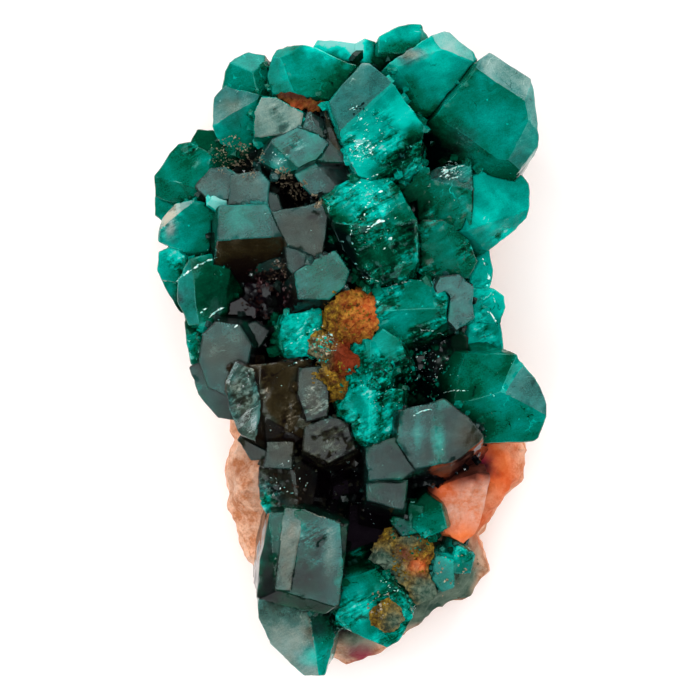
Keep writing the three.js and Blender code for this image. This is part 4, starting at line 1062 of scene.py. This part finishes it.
def facet_changes(shape):
    """How much lighter and how much earthier each facet is than its crystal. Steep facets get painted shade,
    and facets that tip toward the far side a painted reflection, paler and greyer.
    """
    points, facets = shape["points"], shape["facets"]
    low, high = (np.array(corner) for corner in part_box(shape["node"]))
    centres = points[shape["faces"]].mean(axis=1)
    directions = np.zeros((facets.max() + 1, 3))
    np.add.at(directions, facets, face_crosses(points, shape["faces"]))
    directions = unit(directions)
    steep = smoothstep(math.cos(math.radians(34)), math.cos(math.radians(44)), directions[:, 2])
    painted_sheen = smoothstep(math.cos(math.radians(24)), math.cos(math.radians(14)), directions @ SHEEN_SIDE)
    lighter = SHEEN_PALER * painted_sheen - (STEEP_SHADE_SMOKY if shape["node"] in SMOKY else STEEP_SHADE_TEAL) * steep
    earthier = SHEEN_EARTHIER * painted_sheen
    for across, along, light, earth in FACETS.get(shape["node"], []):
        spot = low[:2] + (high - low)[:2] * (across, along)
        away = np.linalg.norm(centres[:, :2] - spot, axis=1) - 0.3 * centres[:, 2]
        facet = facets[np.argmin(np.where(facets > 0, away, np.inf))]
        lighter[facet] = light
        earthier[facet] = earth
    return lighter, earthier


def facets_with_edges(shape):
    """The facet of each triangle, where one on a worn edge counts with the facet that it runs along."""
    points, facets = shape["points"], shape["facets"].copy()
    crosses = face_crosses(points, shape["faces"])
    areas = np.linalg.norm(crosses, axis=1)
    centres = points[shape["faces"]].mean(axis=1)
    directions, middles = np.zeros((2, facets.max() + 1, 3))
    np.add.at(directions, facets, crosses)
    np.add.at(middles, facets, centres * areas[:, None])
    directions = unit(directions)[1:]
    middles = middles[1:] / np.maximum(np.bincount(facets, areas)[1:, None], 1e-18)
    edges = np.flatnonzero(facets == 0)
    apart = centres[edges, None] - middles
    off_plane = np.abs((apart * directions).sum(axis=2)) / MM
    away = np.linalg.norm(apart, axis=2) / MM
    likeness = unit(crosses[edges]) @ directions.T - 2 * off_plane - 0.1 * away
    facets[edges] = 1 + np.argmax(likeness, axis=1)
    return facets


def paint_crystal(mesh, shape, sunk):
    node, points = shape["node"], shape["points"]
    paleness, earth, broken = CHARACTER[node]
    own = np.random.default_rng(list(CHARACTER).index(node))
    of_crystal = own.uniform(-TONE_SPREAD, TONE_SPREAD, shape["crystals"].max() + 1)[shape["crystals"]]
    of_facet = own.uniform(-TONE_SPREAD, TONE_SPREAD, shape["facets"].max() + 1)
    lighter, earthier = facet_changes(shape)
    facets = facets_with_edges(shape)
    # The bevelled edges get a painted highlight.
    of_facet = (of_facet + lighter)[facets] + EDGE_HIGHLIGHT * (shape["facets"] == 0)
    write(mesh, "tone", paleness + of_crystal + of_facet, "FACE")
    write(mesh, "facet_earth_and_sheen", earthier[facets], "FACE")
    # The light attribute is painted light and shade: the light spots, less the painted shade spots, less
    # painted shade where the surface sits deep below its surroundings.
    light = spots_at("light", node, points) - spots_at("painted_shade", node, points)
    light = light - (SUNK_SHADE_SMOKY if node in SMOKY else SUNK_SHADE_TEAL) * smoothstep(0.22, 0.85, sunk)
    write(mesh, "light", light, "POINT")
    write(mesh, "worn", shape["worn"], "POINT")
    write(mesh, "painted_glints", spots_at("painted_glints", node, points), "POINT")
    greener = GREEN_RIM * shape["rim"] * smoothstep(-0.3, 0.4, waves(points, 2.5 * MM, 19.0))
    greener = greener if node in SMOKY and broken > 0 else 0.0
    write(mesh, "earth", earth + spots_at("earth", node, points) - greener, "POINT")


def paint_rock(mesh, shape, near_crystals):
    """Dark crust in the crevices, partly painted shade where the crystals stand over the rock, and stains
    that fade down the sides.
    """
    node, points = shape["node"], shape["points"]
    # Painted shade under and between the crystals, weaker on limonite, laid down as dark crust.
    shade_under_crystals = smoothstep(0.60, 0.80, near_crystals + 0.1 * waves(points, 1.5 * MM))
    upward = smoothstep(0.25, 0.65, vertex_normals(points, shape["faces"])[:, 2])
    high = smoothstep(8 * MM, 13 * MM, points[:, 2] + 2 * MM * waves(points, 2 * MM, 27.0))
    shade_under_crystals = shade_under_crystals * np.maximum(upward, high) * (LIMONITE_SHADE if node.startswith("limonite") else 1.0)
    shallow = smoothstep(3 * MM, 9 * MM, points[:, 2] + 3 * MM * rough(points, 4 * MM, 41.0))
    crust_and_shade = np.maximum(shade_under_crystals, shallow * spots_at("crust_and_shade", node, points))
    write(mesh, "crust_and_shade", np.clip(crust_and_shade, 0, 1), "POINT")
    for kind in ("rust", "crimson", "green"):
        write(mesh, kind, np.clip(shallow * spots_at(kind, node, points), 0, 1), "POINT")


def show(name, mesh, look):
    piece = bpy.data.objects.new(name, mesh)
    bpy.context.scene.collection.objects.link(piece)
    mesh.materials.append(looks[look])
    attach(piece, "root")
    return piece


def paint_small(mesh, tones, earths):
    write(mesh, "tone", tones, "FACE")
    write(mesh, "earth", earths, "FACE")


def small_crystals(tree, owners):
    """Short prisms grown in the crevices between the large crystals, with painted shade that makes them
    darker the deeper they sit.
    """
    template, corners = prism_template()
    made = {"dioptase": [], "dioptase_smoky": []}
    while sum(len(items) for items in made.values()) < SMALL_CRYSTALS:
        spot, normal, index, _ = tree.ray_cast(*from_around())
        if spot is None or spot.z < LOWEST_SMALL:
            continue
        node = shapes[owners[index]]["node"]
        sunk = (level[cell_of(np.array([spot]))][0] - spot.z) / DEEP
        opening = tree.ray_cast(spot + normal * WELD, normal, CREVICE)[3]
        if sunk < 0.10 or not opening or not node.startswith("crystal"):
            continue
        wide = min(rng.uniform(0.5, 1.3) * MM, 0.8 * opening)
        size = (wide, wide * rng.uniform(0.7, 1.0), wide * rng.uniform(1.0, 1.8))
        turn = standing(normal + Vector((0, 0, 0.8)), rng.uniform(0, math.pi), 0.35)
        placed = (template * size) @ turn.T + np.array(spot)
        slot = "dioptase_smoky" if slot_of(node) == "dioptase_smoky" else "dioptase"
        paleness, earth, _ = CHARACTER[node]
        # Painted shade: the deeper it sits, the darker its tone.
        tone = paleness + rng.uniform(-0.10, 0.06) - 0.38 * smoothstep(0.22, 0.85, sunk)
        made[slot].append((placed, tone, earth))
    for slot, items in made.items():
        points, faces, owner = gathered([(placed, corners) for placed, _, _ in items])
        mesh = solid("small_" + slot, points, faces)
        mesh.shade_flat()
        tones, earths = (np.array([item[k] for item in items])[owner] for k in (1, 2))
        paint_small(mesh, tones + rng.uniform(-0.05, 0.05, len(tones)), earths)
        show("small_crystals." + slot, mesh, slot)


def loose_grains(tree):
    templates = [lump_template() for _ in range(LUMP_KINDS)]
    made = {}
    for across, along, radius, count, size, slot, paleness, earth in GRAINS:
        for _ in range(count):
            spot, normal, _, _ = tree.ray_cast(*straight_down(across, along, radius))
            if spot is None or spot.z < LOWEST_SMALL:
                continue
            if waves(np.array([spot]), 1.1 * MM, 3.0)[0] < rng.uniform(-0.3, 0.2):
                continue
            points, corners = templates[rng.integers(LUMP_KINDS)]
            scale = size * MM * rng.uniform(0.4, 1.8) * rng.uniform(0.7, 1.2, 3)
            placed = (points * scale) @ standing(normal, rng.uniform(0, math.pi), 0.5).T + np.array(spot)
            made.setdefault(slot, []).append((placed, corners, paleness + rng.uniform(-0.12, 0.12), earth))
    for slot, items in made.items():
        points, faces, owner = gathered([item[:2] for item in items])
        mesh = solid("grains_" + slot, points, faces)
        mesh.shade_flat()
        tones, earths = (np.array([item[k] for item in items])[owner] for k in (2, 3))
        paint_small(mesh, tones, earths)
        show("grains." + slot, mesh, slot)


def glint_flake(tree, ray, long, heading, template):
    """A sliver of cleaved crystal lying where the ray meets the object, or None."""
    spot, normal, _, _ = tree.ray_cast(*ray)
    if spot is None or spot.z < LOWEST_SMALL:
        return None
    points, corners = template
    size = (long, long * rng.uniform(0.15, 0.6), 0.05 * MM)
    flat = np.array(Matrix.Rotation(heading, 3, "Z"))
    tip = np.array(Vector((0, 0, 1)).rotation_difference(normal).to_matrix())
    return (points * size) @ (tip @ flat).T + np.array(spot), corners


def painted_glint_flakes(tree):
    """Pale slivers that stand for painted glints on the broken faces, most of them rising to the right, and
    others strung along cracks.
    """
    templates = [lump_template() for _ in range(LUMP_KINDS)]
    items = []
    for across, along, radius, count, length in FLAKES:
        for _ in range(count):
            long = length * MM * math.exp(0.6 * rng.normal())
            heading = math.radians(30 + rng.normal() * 25)
            ray = straight_down(across, along, radius)
            items.append(glint_flake(tree, ray, long, heading, templates[rng.integers(LUMP_KINDS)]))
    for x, y, end_x, end_y, count in CRACKS:
        size = CAD_HIGH - CAD_LOW
        heading = math.atan2((end_y - y) * size.y, (end_x - x) * size.x)
        for part in rng.random(count):
            bow = 0.004 * math.sin(part * math.pi)
            ray = straight_down(x + (end_x - x) * part, y + (end_y - y) * part + bow, 0.06)
            long = 0.22 * MM * math.exp(0.5 * rng.normal())
            turn = heading + 0.2 * rng.normal()
            items.append(glint_flake(tree, ray, long, turn, templates[rng.integers(LUMP_KINDS)]))
    points, faces, _ = gathered([item for item in items if item])
    mesh = solid("flakes", points, faces)
    mesh.shade_flat()
    show("painted_glint_flakes", mesh, "glint_flake")


shapes = [crystal_shape(node) if node.startswith("crystal") else rock_shape(node)
          for node in sorted(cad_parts)]
level, cover = surroundings(shapes)
for shape in shapes:
    node, points, faces = shape["node"], shape["points"], shape["faces"]
    mesh = solid(node, points, faces, sharp_edges(points, faces, shape["facets"], SHARP_TURN))
    cell = cell_of(points)
    if node.startswith("crystal"):
        paint_crystal(mesh, shape, np.clip((level[cell] - points[:, 2]) / DEEP, 0, 1))
    else:
        paint_rock(mesh, shape, cover[cell])
    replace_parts(show(node + ".shown", mesh, slot_of(node)), node)
tree, owners = surface_tree(shapes)
small_crystals(tree, owners)
loose_grains(tree)
painted_glint_flakes(tree)
